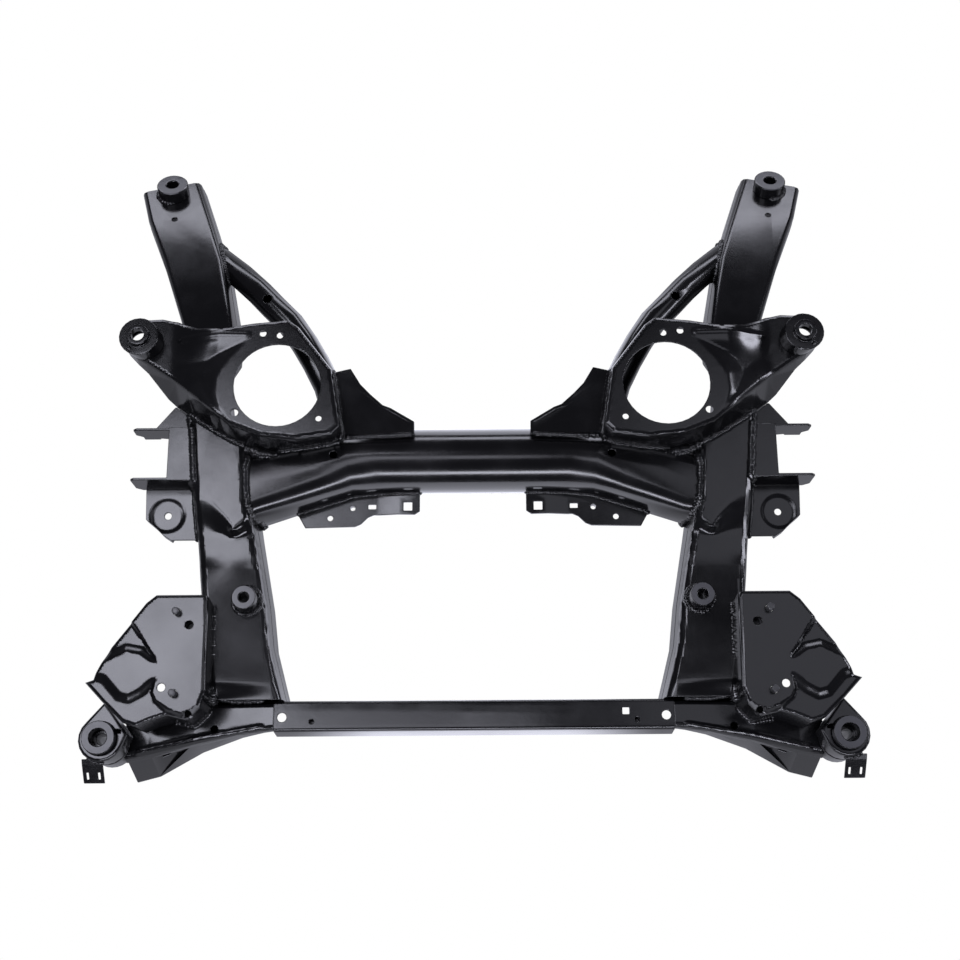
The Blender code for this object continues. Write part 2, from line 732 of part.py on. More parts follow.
def brace_envelope(grow=SEAM):
    """A solid just larger than the brace tube."""
    return loft_solid("brace_envelope", brace_rings(BRACE_RADIUS + grow))


def arm_brace():
    """Brace tube fitted between the arm and the cross tube."""
    brace = loft_sheet("arm_brace", brace_rings(BRACE_RADIUS),
                       brace_rings(BRACE_RADIUS - BRACE_WALL), True)
    cut(brace, rail_envelope(), tube_envelope())
    keep_largest(brace)
    x, y = BRACE_HOLE[:2]
    near = min(BRACE_PATH, key=lambda place: math.hypot(place[0] - x, place[1] - y))
    drill(brace, [BRACE_HOLE], near[2] + BRACE_RADIUS * BRACE_RISE)
    return paint(brace)


def turned_edge(edge, drop):
    """A turned-down edge below a run of outline points."""
    flat = [(x, y) for x, y, _ in edge]
    rows = [[[(x, y, z - down) for (x, y), (_, _, z) in zip(line, edge)]
             for down in (BRACKET_SHEET / 3, drop)]
            for line in (flat, offset_path(flat, -BRACKET_SHEET))]
    return loft_sheet("turned_edge", rows[0], rows[1], False)


def brace_gusset():
    """Three-cornered plate that ties the perch to the cross tube, with a turned-down edge."""
    low = TUBE_HEIGHT + TUBE_RADIUS + GUSSET_OVER_TUBE
    rise = PERCH_TOP - GUSSET_BELOW_PERCH - low
    outline = [(x, y, low + share * rise) for x, y, share in GUSSET_OUTLINE]
    gusset = plate("brace_gusset", outline, BRACKET_SHEET)
    join(gusset, turned_edge(outline[1:7], GUSSET_FLANGE))
    cut(gusset, perch_envelope(), tube_envelope(), brace_envelope())
    keep_largest(gusset)
    return paint(gusset)


# Rack sleeve

def rack_sleeve():
    """Threaded sleeve for the steering rack, with a foot on the rail."""
    ground, edge = rail_top(RACK_CENTRE[1]), 1.0
    top, foot, low = ground + RACK_RISE, ground + RACK_FOOT_HEIGHT, ground - SHEET
    sleeve = turned("rack_sleeve", (
        (RACK_BORE, top - edge), (RACK_BORE + edge, top), (RACK_RADIUS - edge, top),
        (RACK_RADIUS, top - edge), (RACK_RADIUS, foot), (RACK_FOOT_RADIUS, foot - 2 * edge),
        (RACK_FOOT_RADIUS, low), (RACK_BORE, low)))
    sleeve.data.transform(Matrix.Translation(Vector((*RACK_CENTRE, 0)) * MM))
    cut(sleeve, rail_envelope())
    return paint(sleeve)


# Link clevis and lug

def link_clevis():
    """Bracket with two upright ears for the link, welded to the rail's outer wall."""
    edge, front, rear = CLEVIS_WEB
    sheet, top = BRACKET_SHEET, CLEVIS_TOP
    web = block("link_clevis", (ROOT, edge), (front, rear), (top - sheet, top))
    for spot, ear in zip(CLEVIS_EAR_SPOTS, (CLEVIS_EAR, CLEVIS_FRONT_EAR)):
        join(web, loft_solid("ear", [[(x, y, top - drop) for x, drop in ear]
                                     for y in (spot - sheet / 2, spot + sheet / 2)]))
    start, end, high, low = CLEVIS_TONGUE
    middle = CLEVIS_EAR_SPOTS[0]
    join(web, block("tongue", (start, end), (middle - sheet / 2, middle + sheet / 2),
                    (top - low, top - high)),
         prism("fin", CLEVIS_FIN, top - sheet - CLEVIS_FIN_DROP, top - CLEVIS_FIN_DROP))
    cut(web, rail_envelope(), lug_envelope(), perch_envelope())
    keep_largest(web)
    return paint(web)


def lug_height(y):
    """Height of the lug's top face along the car."""
    rear, front = LUG_OUTLINE[0][1], LUG_OUTLINE[2][1]
    share = (y - rear) / (front - rear)
    return LUG_REAR_HEIGHT + (LUG_FRONT_HEIGHT - LUG_REAR_HEIGHT) * share


def lug_envelope(grow=SEAM):
    """A solid just larger than the lug plate."""
    outline = pull_in(LUG_OUTLINE, -grow)
    return prism("lug_envelope", outline, LUG_FRONT_HEIGHT - LUG_FLANGE - CLEAR,
                 LUG_REAR_HEIGHT + grow)


def link_lug():
    """Lower lug plate with a turned-down edge, ahead of the clevis."""
    outline = [(x, y, lug_height(y)) for x, y in LUG_OUTLINE]
    lug = plate("link_lug", outline, BRACKET_SHEET)
    join(lug, turned_edge([outline[i] for i in (3, 4, 5, 6, 0)], LUG_FLANGE))
    drill(lug, [LUG_HOLE], lug_height(LUG_HOLE[1]))
    cut(lug, rail_envelope())
    return paint(lug)


# Tube bracket

def tube_front():
    """Y of the cross tube's front face at its middle."""
    return TUBE_PATH[0][1] - TUBE_RADIUS


def tube_bracket():
    """Cable bracket along the cross tube, with a step, holes and a slot."""
    start, end, step = BRACKET_STEP
    top, sheet, far = TUBE_HEIGHT - BRACKET_BELOW_AXIS, BRACKET_SHEET, TUBE_PATH[-1][0]
    profile = [(0, top), (0, top - sheet), (start, top - sheet), (end, top - step - sheet),
               (far, top - step - sheet), (far, top - step), (end, top - step), (start, top)]
    front = min(y for x, y in BRACKET_OUTLINE) - CLEAR
    rear = max(y for x, y in BRACKET_OUTLINE) + CLEAR
    bracket = loft_solid("tube_bracket", [[(x, y, z) for x, z in profile] for y in (front, rear)])
    frame = prism("frame", [(-CLEAR, front - 1), (far + CLEAR, front - 1),
                            (far + CLEAR, rear + 1), (-CLEAR, rear + 1)],
                  top - CLEAR, top + CLEAR)
    cut(frame, prism("hole", BRACKET_OUTLINE, top - 2 * CLEAR, top + 2 * CLEAR))
    cut(bracket, frame)
    drill(bracket, [BRACKET_HOLE, BRACKET_NUT_HOLE], top)
    for x, y, length, width in (BRACKET_SLOT, BRACKET_SQUARE):
        punch(bracket, (x, y), (length, width), top)
    bracket.data.transform(Matrix.Translation(Vector((0, tube_front(), 0)) * MM))
    cut(bracket, tube_envelope(), rail_envelope())
    keep_largest(bracket)
    return paint(bracket)


def bracket_nut():
    """Weld nut under the tube bracket."""
    x, y, bore = BRACKET_NUT_HOLE
    top = TUBE_HEIGHT - BRACKET_BELOW_AXIS - BRACKET_STEP[2] - BRACKET_SHEET - SEAM
    nut = turned("bracket_nut", ((bore, top), (NUT_RADIUS, top), (NUT_RADIUS, top - NUT_HEIGHT),
                                 (bore, top - NUT_HEIGHT)), 18)
    nut.location = Vector((x, tube_front() + y, 0)) * MM
    return paint(nut, BARE, 0.4, 0.6)


def cap_nut(name, hole, under):
    """Closed weld nut under a blind hole of a sheet whose lower face is at a height."""
    x, y, bore = hole
    top = under - SEAM
    nut = cylinder(name, (0, 0), bore + CAP_NUT_WALL, top - CAP_NUT_HEIGHT, top, 18)
    cut(nut, cylinder("bore", (0, 0), bore, top - CAP_NUT_HEIGHT + CAP_NUT_WALL, top + 1, 12))
    nut.location = Vector((x, y, 0)) * MM
    return paint(nut, BARE, 0.4, 0.6)


# Corner mount plate

def corner_plate():
    """Mount plate at the front corner, skirted down to the rail and the front box."""
    drop = CORNER_BORDER - CORNER_FOOT
    flat = [(x, y) for x, y, _ in CORNER_OUTLINE]
    lows = [CORNER_BORDER - share * drop for _, _, share in CORNER_OUTLINE]
    mount = pan("corner_plate", flat, lows, CORNER_BORDER, CORNER_BEND)
    cut(mount, rail_envelope(), box_envelope(), hoop_envelope())
    keep_largest(mount)
    emboss(mount, CORNER_PAD, CORNER_BORDER)
    emboss(mount, CORNER_BULGE, CORNER_BORDER)
    drill(mount, CORNER_HOLES, CORNER_BORDER + CORNER_RISE)
    drill(mount, [CORNER_EDGE_HOLE], CORNER_BORDER)
    drill(mount, [(x, y, STUD_RADIUS + SEAM) for x, y in CORNER_STUDS],
          CORNER_BORDER + CORNER_RISE)
    return paint(mount)


def corner_studs():
    """The two weld studs that stand on the mount plate."""
    studs = []
    top, edge = CORNER_BORDER + CORNER_RISE + STUD_ABOVE, 1.2
    for name, (x, y) in zip(("corner_stud_rear", "corner_stud_front"), CORNER_STUDS):
        rows = ((STUD_RADIUS, top - STUD_LENGTH), (STUD_RADIUS, top - edge),
                (STUD_RADIUS - edge, top))
        stud = loft_solid(name, [[(px, py, z) for px, py in arc((0, 0), radius, 0, 337.5, 15)]
                                 for radius, z in rows])
        stud.location = Vector((x, y, 0)) * MM
        studs.append(paint(stud, BARE, 0.35, 0.5))
    return studs


# Front sleeve, hoop and tab

def front_sleeve():
    """Thick sleeve for the body bush."""
    top, edge = HOOP_TOP + SLEEVE_RISE, 1.0
    neck, ledge = HOOP_TOP - SHEET - 1.5 * edge, top - SLEEVE_LEDGE
    sleeve = turned("front_sleeve", (
        (SLEEVE_BORE, top - edge), (SLEEVE_BORE + edge, top), (SLEEVE_HEAD_RADIUS - edge, top),
        (SLEEVE_HEAD_RADIUS, top - edge), (SLEEVE_HEAD_RADIUS, neck),
        (SLEEVE_RADIUS, neck - 2.5 * edge), (SLEEVE_RADIUS, HOOP_LOW - 2 * edge),
        (SLEEVE_FOOT_RADIUS, HOOP_LOW - 5 * edge), (SLEEVE_FOOT_RADIUS, SLEEVE_LOW + 1.5 * edge),
        (SLEEVE_FOOT_RADIUS - 1.5 * edge, SLEEVE_LOW), (SLEEVE_INNER_BORE, SLEEVE_LOW),
        (SLEEVE_INNER_BORE, ledge), (SLEEVE_BORE, ledge)), 28)
    sleeve.location = Vector((*SLEEVE_CENTRE, 0)) * MM
    return paint(sleeve)


def hoop_outline():
    """Outline of the hoop: round the sleeve outside, cornered towards the mount plate."""
    return arc(SLEEVE_CENTRE, HOOP_RADIUS, -150, 48, 11) + [HOOP_APEX, HOOP_INNER_CORNER]


def hoop_envelope(grow=SEAM):
    """A solid just larger than the hoop."""
    return prism("hoop_envelope", pull_in(hoop_outline(), -grow), HOOP_LOW - grow, HOOP_TOP + grow)


def sleeve_envelope(grow=SEAM):
    """A solid just larger than the sleeve's foot."""
    return cylinder("sleeve_envelope", SLEEVE_CENTRE, SLEEVE_FOOT_RADIUS + grow, 0,
                    HOOP_TOP + SLEEVE_RISE, 36)


def sleeve_hoop():
    """Cap bracket round the sleeve."""
    flat = hoop_outline()
    hoop = pan("sleeve_hoop", flat, [HOOP_LOW] * len(flat), HOOP_TOP, HOOP_BEND)
    drill(hoop, [(*SLEEVE_CENTRE, SLEEVE_HEAD_RADIUS + SEAM)], HOOP_TOP)
    x, y, length, width = HOOP_SLOT
    punch(hoop, (x, y), (length, width), HOOP_TOP)
    return paint(hoop)


def front_tab():
    """Small slotted tab on the front of the hoop."""
    half, sheet = TAB_WIDTH / 2, BRACKET_SHEET
    rear, high = SLEEVE_CENTRE[1] - TAB_REAR[0], HOOP_TOP - TAB_REAR[1]
    front, low = SLEEVE_CENTRE[1] - TAB_FRONT[0], HOOP_TOP - TAB_FRONT[1]
    rows = [(rear + 2 * sheet, high + sheet), (rear, high), (front, low)]
    tab = loft_solid("front_tab", [[(TAB_CENTRE - half, y, z), (TAB_CENTRE + half, y, z),
                                    (TAB_CENTRE + half, y, z - sheet),
                                    (TAB_CENTRE - half, y, z - sheet)] for y, z in rows])
    middle = front * 0.6 + rear * 0.4
    for x in (TAB_CENTRE - half * 0.55, TAB_CENTRE + half * 0.55):
        punch(tab, (x, middle), TAB_SLOT, low, 2 * CLEAR)
    cut(tab, hoop_envelope(), sleeve_envelope())
    keep_largest(tab)
    return paint(tab)


# Front box

def box_path(section, grow, upper):
    """Path round one box section, as Y and height, from the rear wall over or under to the front."""
    x, rear, top_front, low_front, top, bottom = section
    c = BOX_CORNER
    depth = top - bottom
    lean = (low_front - top_front) / depth
    if upper:
        lip = top - c - BOX_LIP
        return [(rear + grow, bottom + 8), (rear + grow, top - c),
                (rear + grow - c * 0.3, top + grow - c * 0.3), (rear + grow - c, top + grow),
                (top_front - grow + c, top + grow), (top_front - grow + c * 0.3, top + grow - c * 0.3),
                (top_front - grow + lean * c, top - c), (top_front - grow + lean * (top - lip), lip)]
    inset = SHEET + BOX_SEAM
    wall_top = top - c - inset
    return [(top_front + inset + lean * (top - wall_top), wall_top),
            (low_front + inset - lean * c, bottom + c),
            (low_front + inset + c * 0.3, bottom + c * 0.3), (low_front + inset + c, bottom),
            (rear - inset - c, bottom), (rear - inset - c * 0.3, bottom + c * 0.3),
            (rear - inset, bottom + c), (rear - inset, bottom + depth * BOX_REAR_LAP + c)]


def box_shell(name, upper):
    """Upper or lower pressed shell of the front box."""
    outer, inner = [], []
    for section in BOX_SECTIONS:
        path = box_path(section, 0.0, upper)
        skin = offset_path(path, -SHEET)
        outer.append([(section[0], y, z) for y, z in path])
        inner.append([(section[0], y, z) for y, z in skin])
    return loft_sheet(name, outer, inner, False)


def box_envelope(grow=SEAM):
    """A solid just larger than the front box."""
    rings = []
    for index, section in enumerate(BOX_SECTIONS):
        x, rear, top_front, low_front, top, bottom = section
        roof = box_path(section, grow, True)
        x += -grow if index == 0 else grow if index == len(BOX_SECTIONS) - 1 else 0
        floor = [(low_front - grow, bottom + BOX_CORNER), (low_front - grow, bottom - grow),
                 (rear + grow, bottom - grow)]
        rings.append([(x, y, z) for y, z in roof + floor])
    return loft_solid("box_envelope", rings)


def front_box():
    """Hollow box that carries the sleeve and the crossbar, with a gusset on the rail's side."""
    upper = box_shell("front_box_upper", True)
    join(upper, prism("gusset", BOX_GUSSET, CROSSBAR_TOP - BOX_CORNER - SHEET,
                      CROSSBAR_TOP - BOX_CORNER))
    cut(upper, rail_envelope(), sleeve_envelope())
    drill(upper, [BOX_HOLE], CROSSBAR_TOP)
    lower = box_shell("front_box_lower", False)
    cut(lower, sleeve_envelope())
    length, width = BOX_SLOT_SIZE
    front = min(section[3] for section in BOX_SECTIONS)
    for x, z in BOX_SLOTS:
        cut(lower, block("slot", (x - length / 2, x + length / 2),
                         (front - CLEAR, front + 5 * CLEAR), (z - width / 2, z + width / 2)))
    keep_largest(upper)
    keep_largest(lower)
    return [paint(upper), paint(lower)]


# Assembly

def clear_scene():
    """Remove every object and the data it leaves."""
    for obj in list(bpy.data.objects):
        bpy.data.objects.remove(obj)
    for store in (bpy.data.meshes, bpy.data.materials):
        for item in list(store):
            store.remove(item)


def mirror_to_left(obj):
    """Share a right-hand piece's mesh on the left."""
    name = obj.name
    obj.name = name + "_right"
    twin = bpy.data.objects.new(name + "_left", obj.data)
    twin.location = (-obj.location.x, obj.location.y, obj.location.z)
    twin.scale = (-1, 1, 1)
    bpy.context.scene.collection.objects.link(twin)
    return twin


def build():
    """Make every piece and hang them on one empty at the middle of the frame's footprint."""
    clear_scene()
    middle = [cross_tube(), front_crossbar()]
    right = side_rail() + front_box() + corner_studs()
    right += [cap_nut("corner_nut", CORNER_HOLES[0], CORNER_BORDER - SHEET),
              cap_nut("crossbar_nut", CROSSBAR_SMALL_HOLE, CROSSBAR_TOP - BRACKET_SHEET)]
    right += [mount_perch(), perch_ear_collar(), arm_collar(), arm_brace(), brace_gusset(),
              rack_sleeve(), link_clevis(), link_lug(), tube_bracket(), bracket_nut(),
              corner_plate(), front_sleeve(), sleeve_hoop(), front_tab()]
    left = [mirror_to_left(obj) for obj in right]
    origin = bpy.data.objects.new("subframe_origin", None)
    origin.location = (0, -FORE_AFT_CENTRE * MM, 0)
    bpy.context.scene.collection.objects.link(origin)
    for obj in middle + right + left:
        obj.parent = origin


build()
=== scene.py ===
"""Looks of the welded front subframe: pressed edges, weld beads, gloss black paint and a studio.

The CAD model comes in as a fixed frame. Sizes are in metres, apart from those in the two lists
of welds and those of the relief, which are in millimetres.
"""
import math
import random

import bmesh
import bpy
from mathutils import Matrix, Vector, noise
from mathutils.bvhtree import BVHTree


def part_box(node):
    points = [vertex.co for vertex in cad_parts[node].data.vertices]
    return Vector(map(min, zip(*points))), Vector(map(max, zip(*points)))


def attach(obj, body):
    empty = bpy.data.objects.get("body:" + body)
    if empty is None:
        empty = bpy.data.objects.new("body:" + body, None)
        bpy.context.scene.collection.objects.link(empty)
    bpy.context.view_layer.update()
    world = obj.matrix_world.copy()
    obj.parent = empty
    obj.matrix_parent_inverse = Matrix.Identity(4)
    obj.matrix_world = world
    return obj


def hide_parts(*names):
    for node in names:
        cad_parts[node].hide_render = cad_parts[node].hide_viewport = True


MM = 0.001

# Camera, at the photograph's view
CAMERA_TARGET = Vector((0.0084, -0.042, 0.110))
CAMERA_ELEVATION = math.radians(73.0)
CAMERA_ROLL = math.radians(0.42)
CAMERA_DISTANCE = 1.6675
CAMERA_LENS, CAMERA_SENSOR = 54.375, 36.0   # in millimetres, as lenses are named

# Studio
FLOOR_HALF, FLOOR_DROP = 6.0, 0.0005
FLOOR_SEEN = 1.0           # what the camera sees of the floor: plain white
FLOOR_PAINTED_SHADE, FLOOR_PAINTED_LIT = (0.44, 0.445, 0.50), (2.30, 2.33, 2.66)   # what it throws on the part: painted shade below the frame, a painted brighter glow in the open middle
OPEN_MIDDLE = (0.10, 0.22)  # the painted bright middle of the floor fades out between these X
ROOM_GLOW = (0.055, 0.055, 0.066)
STUDIO_TINT = (0.87, 0.88, 1.0)
OVERHEAD = 2.5             # height of the softboxes overhead
# Softboxes overhead: name, X range, Y range and power
OVERHEADS = (
    ("overhead_left", (-1.17, -0.58), (-0.16, 0.86), 14.5),
    ("overhead_front", (-0.58, 0.15), (-0.36, 0.08), 2.7),
    ("overhead_pocket", (-1.17, -0.50), (-0.66, -0.18), 7.7),
    ("overhead_far", (-2.50, -1.17), (-0.30, 0.16), 14.6),
    ("overhead_bracket", (-0.56, -0.24), (0.53, 0.67), 0.95),
    ("overhead_right", (0.42, 1.60), (-0.30, 1.00), 4.2),
)
# Strips beside the part: name, centre, what it faces, width, height and power
STRIPS = (
    ("front_strip", (0.35, -2.3, 1.45), (0.35, 0, 0.1), 2.5, 0.40, 40.6),
    ("rear_strip", (0.0, 2.6, 0.95), (0, 0, 0.1), 3.6, 0.5, 32.0),
    ("right_strip", (2.3, 0.2, 1.3), (0, 0, 0.1), 1.6, 0.3, 20.0),
)

# Pressed edges and welds
MERGE = 0.25 * MM          # corners closer than this become one
FLAT_ANGLE = math.radians(0.4)
SHARP_ANGLE = math.radians(50.0)
EDGE_ROUND = 0.7 * MM
PRESSED_ROUND = 0.45 * MM
STUD_ROUND = EDGE_ROUND * 0.6
TOUCH = 0.75 * MM          # a rim this close to its neighbour is welded to it
RIM_UP = 0.5               # a rim whose skin faces up this much is welded on every side
BEAD_STEP = 0.9 * MM
BEAD_PITCH = 3.6 * MM      # from one ripple to the next
BEAD_SIDES = 10
BEAD_SMOOTHING = 3         # rounds of easing along a bead
SHORTEST_BEAD = 7.0 * MM
# Shares of a bead's radius
BEAD_SIZE, BEAD_RIPPLE, BEAD_WANDER, BEAD_ROUGH = 0.76, 0.34, 0.30, 0.22
BEAD_WIDE, BEAD_TALL = 1.12, 0.92
BEAD_OUT, BEAD_LIFT, BEAD_SWAY = 0.2, 0.12, 0.25   # how far its middle leaves the seam
BEAD_TAPER = 0.35          # what a bead gains with each step from its end
BEAD_WANDER_GRAIN, BEAD_ROUGH_GRAIN = 260.0, 750.0   # scales of their noise

SIDES = ("left", "right")
SINGLE_NODES = ("cross_tube", "front_crossbar")

# Welds: name, piece whose rim is welded, what it is welded to, bead radius in millimetres
WELDS = (
    ("perch_rail", "mount_perch", "side_rail_upper", 3.4),
    ("perch_tube", "mount_perch", "cross_tube", 3.4),
    ("perch_brace", "mount_perch", "arm_brace", 2.4),
    ("ear_cap", "perch_ear_collar", "mount_perch", 2.6),
    ("corner_rail", "corner_plate", "side_rail_upper", 4.7),
    ("corner_box", "corner_plate", "front_box_upper", 3.0),
    ("tube_rail", "cross_tube", "side_rail_upper", 4.6),
    ("tube_tray", "cross_tube", "side_rail_lower", 4.0),
    ("brace_rail", "arm_brace", "side_rail_upper", 3.0),
    ("brace_tray", "arm_brace", "side_rail_lower", 3.0),
    ("brace_tube", "arm_brace", "cross_tube", 3.0),
    ("gusset_perch", "brace_gusset", "mount_perch", 3.8),
    ("gusset_tube", "brace_gusset", "cross_tube", 3.2),
    ("rack_rail", "rack_sleeve", "side_rail_upper", 3.0),
    ("clevis_rail", "link_clevis", "side_rail_upper", 4.4),
    ("clevis_tray", "link_clevis", "side_rail_lower", 4.2),
    ("lug_tray", "link_lug", "side_rail_lower", 2.4),
    ("bracket_tube", "tube_bracket", "cross_tube", 2.4),
    ("collar_arm", "arm_collar", "side_rail_upper", 2.6),
    ("tab_hoop", "front_tab", "sleeve_hoop", 2.0),
    ("bar_box", "front_crossbar", "front_box_upper", 2.2),
)
# Welds without a rim to follow: name, bead radius, and X, Y and height of the path, all in
# millimetres
FREE_BEADS = (
    ("perch_side", 3.2, ((161, 117, 152), (157, 95, 143), (153, 72, 133), (149, 50, 122))),
    ("gusset_foot", 3.0, ((69, 53, 118), (100, 51, 119), (148, 50, 119))),
    ("rail_corner", 6.5, ((264, 41, 112), (250, 35, 110), (236, 32, 108), (221, 31, 106))),
    ("rail_front", 3.2, ((297, -233, 92), (280, -247, 95), (262, -250, 97), (232, -250, 97))),
)

# Relief pressed into the sheets, in millimetres: X from the car's middle, Y from the
# drawing's zero
DRAWING_ZERO = 42.0        # the drawing's Y zero lies this far in front of the frame's middle
CUT_TOLERANCE = 1e-6       # in metres
PROBE_HEIGHT = 1.0         # in metres: rays that look for a surface start this high
SKIN_UP = 0.3              # a face that faces up this much is the upper skin of a sheet
PERCH_CELL = 2.2
PERCH_FALL = 275           # the CAD plate starts its straight fall at this X
PERCH_SLOPE = (286, 349)   # the plate falls between these X to the ear
PERCH_SLOPE_LINE = 140     # a Y where the sloping plate is whole
PERCH_EAR_INSIDE = 2       # the ear's level is read this far past the slope
PERCH_POCKET = ((272, 52), (304, 79), (353, 119), (356, 150), (256, 150), (276, 127), (289, 106),
                (291, 88), (284, 68))
PERCH_POCKET_DEPTH = 7.0
PERCH_POCKET_WALL = 22.0
PERCH_POCKET_STRAIGHT = 0.65     # share of the wall's fall that is straight, the rest is rounded
PERCH_SKIN = 5.0           # what lies this near to the plate's top moves with it
PERCH_POCKET_FADE = (358, 284)   # the pocket dies away from the second X to the first
PERCH_RIDGE = ((334, 158), (256, 156))
PERCH_RIDGE_HALF, PERCH_RIDGE_HEIGHT = 5.0, 1.7

CORNER_CELL = 1.8
CORNER_PAD = ((350, -132), (282, -132), (282, -244), (288, -254), (292, -263), (303, -271),
              (314, -274), (330, -269), (344, -259), (349, -248), (345, -231), (346, -213),
              (376, -170))
CORNER_PAD_WALL = 4.2
CORNER_BULGE = ((436, -213), (402, -205), (377, -193), (357, -197), (344, -206), (312, -210),
                (312, -238), (342, -242), (355, -253), (370, -261), (385, -257), (402, -238),
                (436, -229))
CORNER_BULGE_WALL = 11.5
CORNER_SKIN_DEPTH = (6.0, 18.0)
CORNER_RISE = 5.0
CORNER_FACE = 147.0        # the plate's level before it is pressed
CORNER_SHEET = 3.0

RAIL_CELL, RAIL_FAR_CELL = 3.0, 14.0
RAIL_CUT_X = (225, 335)    # the top is cut into cells between these X
SWAGE_Y = (-104, 20)       # the rail's top steps down inside this stretch
SWAGE_START = ((240, -34), (255, -40), (262, -52), (272, -60), (282, -42), (297, -23), (322, -6))
SWAGE_END = -66
SWAGE_HIGH, SWAGE_LOW = 120.0, 109.0
RAIL_FRONT_RISE = 0.02     # the rail's front part climbs forwards by this slope
RAIL_FRONT_END = (-250, -230)   # it comes back down to the CAD between these Y
RAIL_FRONT_TILT = 0.10     # the rail's front part leans inwards by this slope
RAIL_FRONT_MIDDLE = 275    # X about which it leans
RAIL_LEAN_START, RAIL_LEAN_RUN = -84, 32.0   # Y where it begins to lean, and over what length
RAIL_SKIN_DEPTH = (14.0, 30.0)
# Y and the X halfway between the rail's walls
RAIL_MIDDLES = ((-250, 250), (-141, 269), (-60, 282), (50, 293), (130, 311), (192, 313),
                (287, 339), (353, 363), (421, 384))
TRAY_TUCK = 3.0            # the lower shell's walls stand this much closer in
WAIST_Y = (48, 62, 144, 164)
WAIST_UPPER, WAIST_LOWER = 3.5, 11.0  # the inner walls stand this much further out at the waist

LUG_CELL = 2.0
LUG_DISC = (356, -31, 21.5)   # X, Y and radius
LUG_DISC_DEPTH, LUG_DISC_WALL = 1.5, 5.0

BOX_CELL = 2.0
BOX_RIM_DEPTH = 6.0        # only the roof's own skin carries the lip
BOX_ROOF_LINE = -268       # a Y where the roof is whole
BOX_LIP = ((236, -279), (300, -289), (372, -303))
BOX_LIP_HALF, BOX_LIP_HEIGHT = 5.0, 2.4

RINGED = ("rack_sleeve", "front_sleeve", "arm_collar")
RING_DEPTH = 0.3 * MM      # how near to a ring's top a face counts as its bare end
RING_UP = 0.88             # and how much it faces up


# Meshes taken from the frame

def node_name(stem, side):
    """The CAD node of a stem on one side."""
    return stem if stem in SINGLE_NODES else stem + "_" + side


def side_sign(side):
    """The sign of X on one side of the car."""
    return -1 if side == "left" else 1


def node_form(name):
    """A CAD node's mesh as a clean bmesh with its level faces joined."""
    form = bmesh.new()
    form.from_mesh(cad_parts[name].data)
    bmesh.ops.remove_doubles(form, verts=form.verts[:], dist=MERGE)
    bmesh.ops.dissolve_degenerate(form, dist=MERGE * 0.5, edges=form.edges[:])
    bmesh.ops.dissolve_limit(form, angle_limit=FLAT_ANGLE, verts=form.verts[:],
                             edges=form.edges[:])
    return form


def add_piece(name, form, material, slot, *nodes):
    """Put a bmesh in the scene as a piece that rides on the frame and stands for CAD nodes."""
    mesh = bpy.data.meshes.new(name)
    form.to_mesh(mesh)
    form.free()
    piece = bpy.data.objects.new(name, mesh)
    bpy.context.scene.collection.objects.link(piece)
    mesh.materials.append(material)
    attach(piece, "root")
    if nodes:
        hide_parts(*nodes)
    return piece


def shade_smooth(mesh):
    """Shade every face of a mesh smooth."""
    mesh.polygons.foreach_set("use_smooth", [True] * len(mesh.polygons))


def finish_edges(piece, width):
    """Round the sharp edges and keep the level faces level in shading."""
    shade_smooth(piece.data)
    piece.data.set_sharp_from_angle(angle=SHARP_ANGLE)
    rounding = piece.modifiers.new("rounding", "BEVEL")
    rounding.width = width
    rounding.segments = 2
    rounding.limit_method = "ANGLE"
    rounding.angle_limit = SHARP_ANGLE
    rounding.use_clamp_overlap = False
    level = piece.modifiers.new("level", "WEIGHTED_NORMAL")
    level.keep_sharp = True


def pressed_piece(name, material, slot, width):
    """A CAD node again, with its relief and rounded edges."""
    form = node_form(name)
    stem, _, side = name.rpartition("_")
    if stem in PRESSES:
        PRESSES[stem](form, side)
        width = PRESSED_ROUND
    piece = add_piece("look_" + name, form, material, slot, name)
    finish_edges(piece, width)
    return piece


# Relief

def ease(share):
    """A smooth step from 0 to 1."""
    share = min(1.0, max(0.0, share))
    return share * share * (3.0 - 2.0 * share)


def line_distance(spot, path, closed=False):
    """Distance from a spot to a path or to the sides of an outline."""
    points = [Vector(point) for point in path]
    ends = points[1:] + points[:1] if closed else points[1:]
    nearest = math.inf
    for a, b in zip(points, ends):
        along = b - a
        share = min(1.0, max(0.0, (spot - a).dot(along) / along.length_squared))
        nearest = min(nearest, (spot - a - along * share).length)
    return nearest


def depth_inside(spot, outline):
    """Distance from a spot inside an outline to its sides, and 0 outside."""
    inside = False
    for (ax, ay), (bx, by) in zip(outline, outline[1:] + outline[:1]):
        if (ay > spot.y) != (by > spot.y):
            inside ^= spot.x < (bx - ax) * (spot.y - ay) / (by - ay) + ax
    return line_distance(spot, outline, True) if inside else 0.0


def along_path(path, x):
    """Value at an X on a path of X and value."""
    for (xa, a), (xb, b) in zip(path, path[1:]):
        if x <= xb:
            return a + (b - a) * max(0.0, (x - xa) / (xb - xa))
    return path[-1][1]


def drawing_spot(place):
    """A place in the frame as X and Y of the drawing, the same for both sides."""
    return Vector((abs(place.x) / MM, place.y / MM + DRAWING_ZERO))


def slice_mesh(form, axis, places):
    """Cut every face along even planes, so that relief can be pressed into it."""
    way = Vector((0, 0, 0))
    way[axis] = 1
    for place in places:
        parts = form.verts[:] + form.edges[:] + form.faces[:]
        bmesh.ops.bisect_plane(form, geom=parts, dist=CUT_TOLERANCE, plane_co=way * place,
                               plane_no=way)


def even_places(low, high, cell):
    """Even steps between two sizes in millimetres, in metres."""
    count = max(1, round((high - low) / cell))
    return [(low + (high - low) * step / count) * MM for step in range(count + 1)]


def cut_rows(form, low, high, cell):
    """Cut a piece across into even rows between two Y of the drawing."""
    slice_mesh(form, 1, [y - DRAWING_ZERO * MM for y in even_places(low, high, cell)])


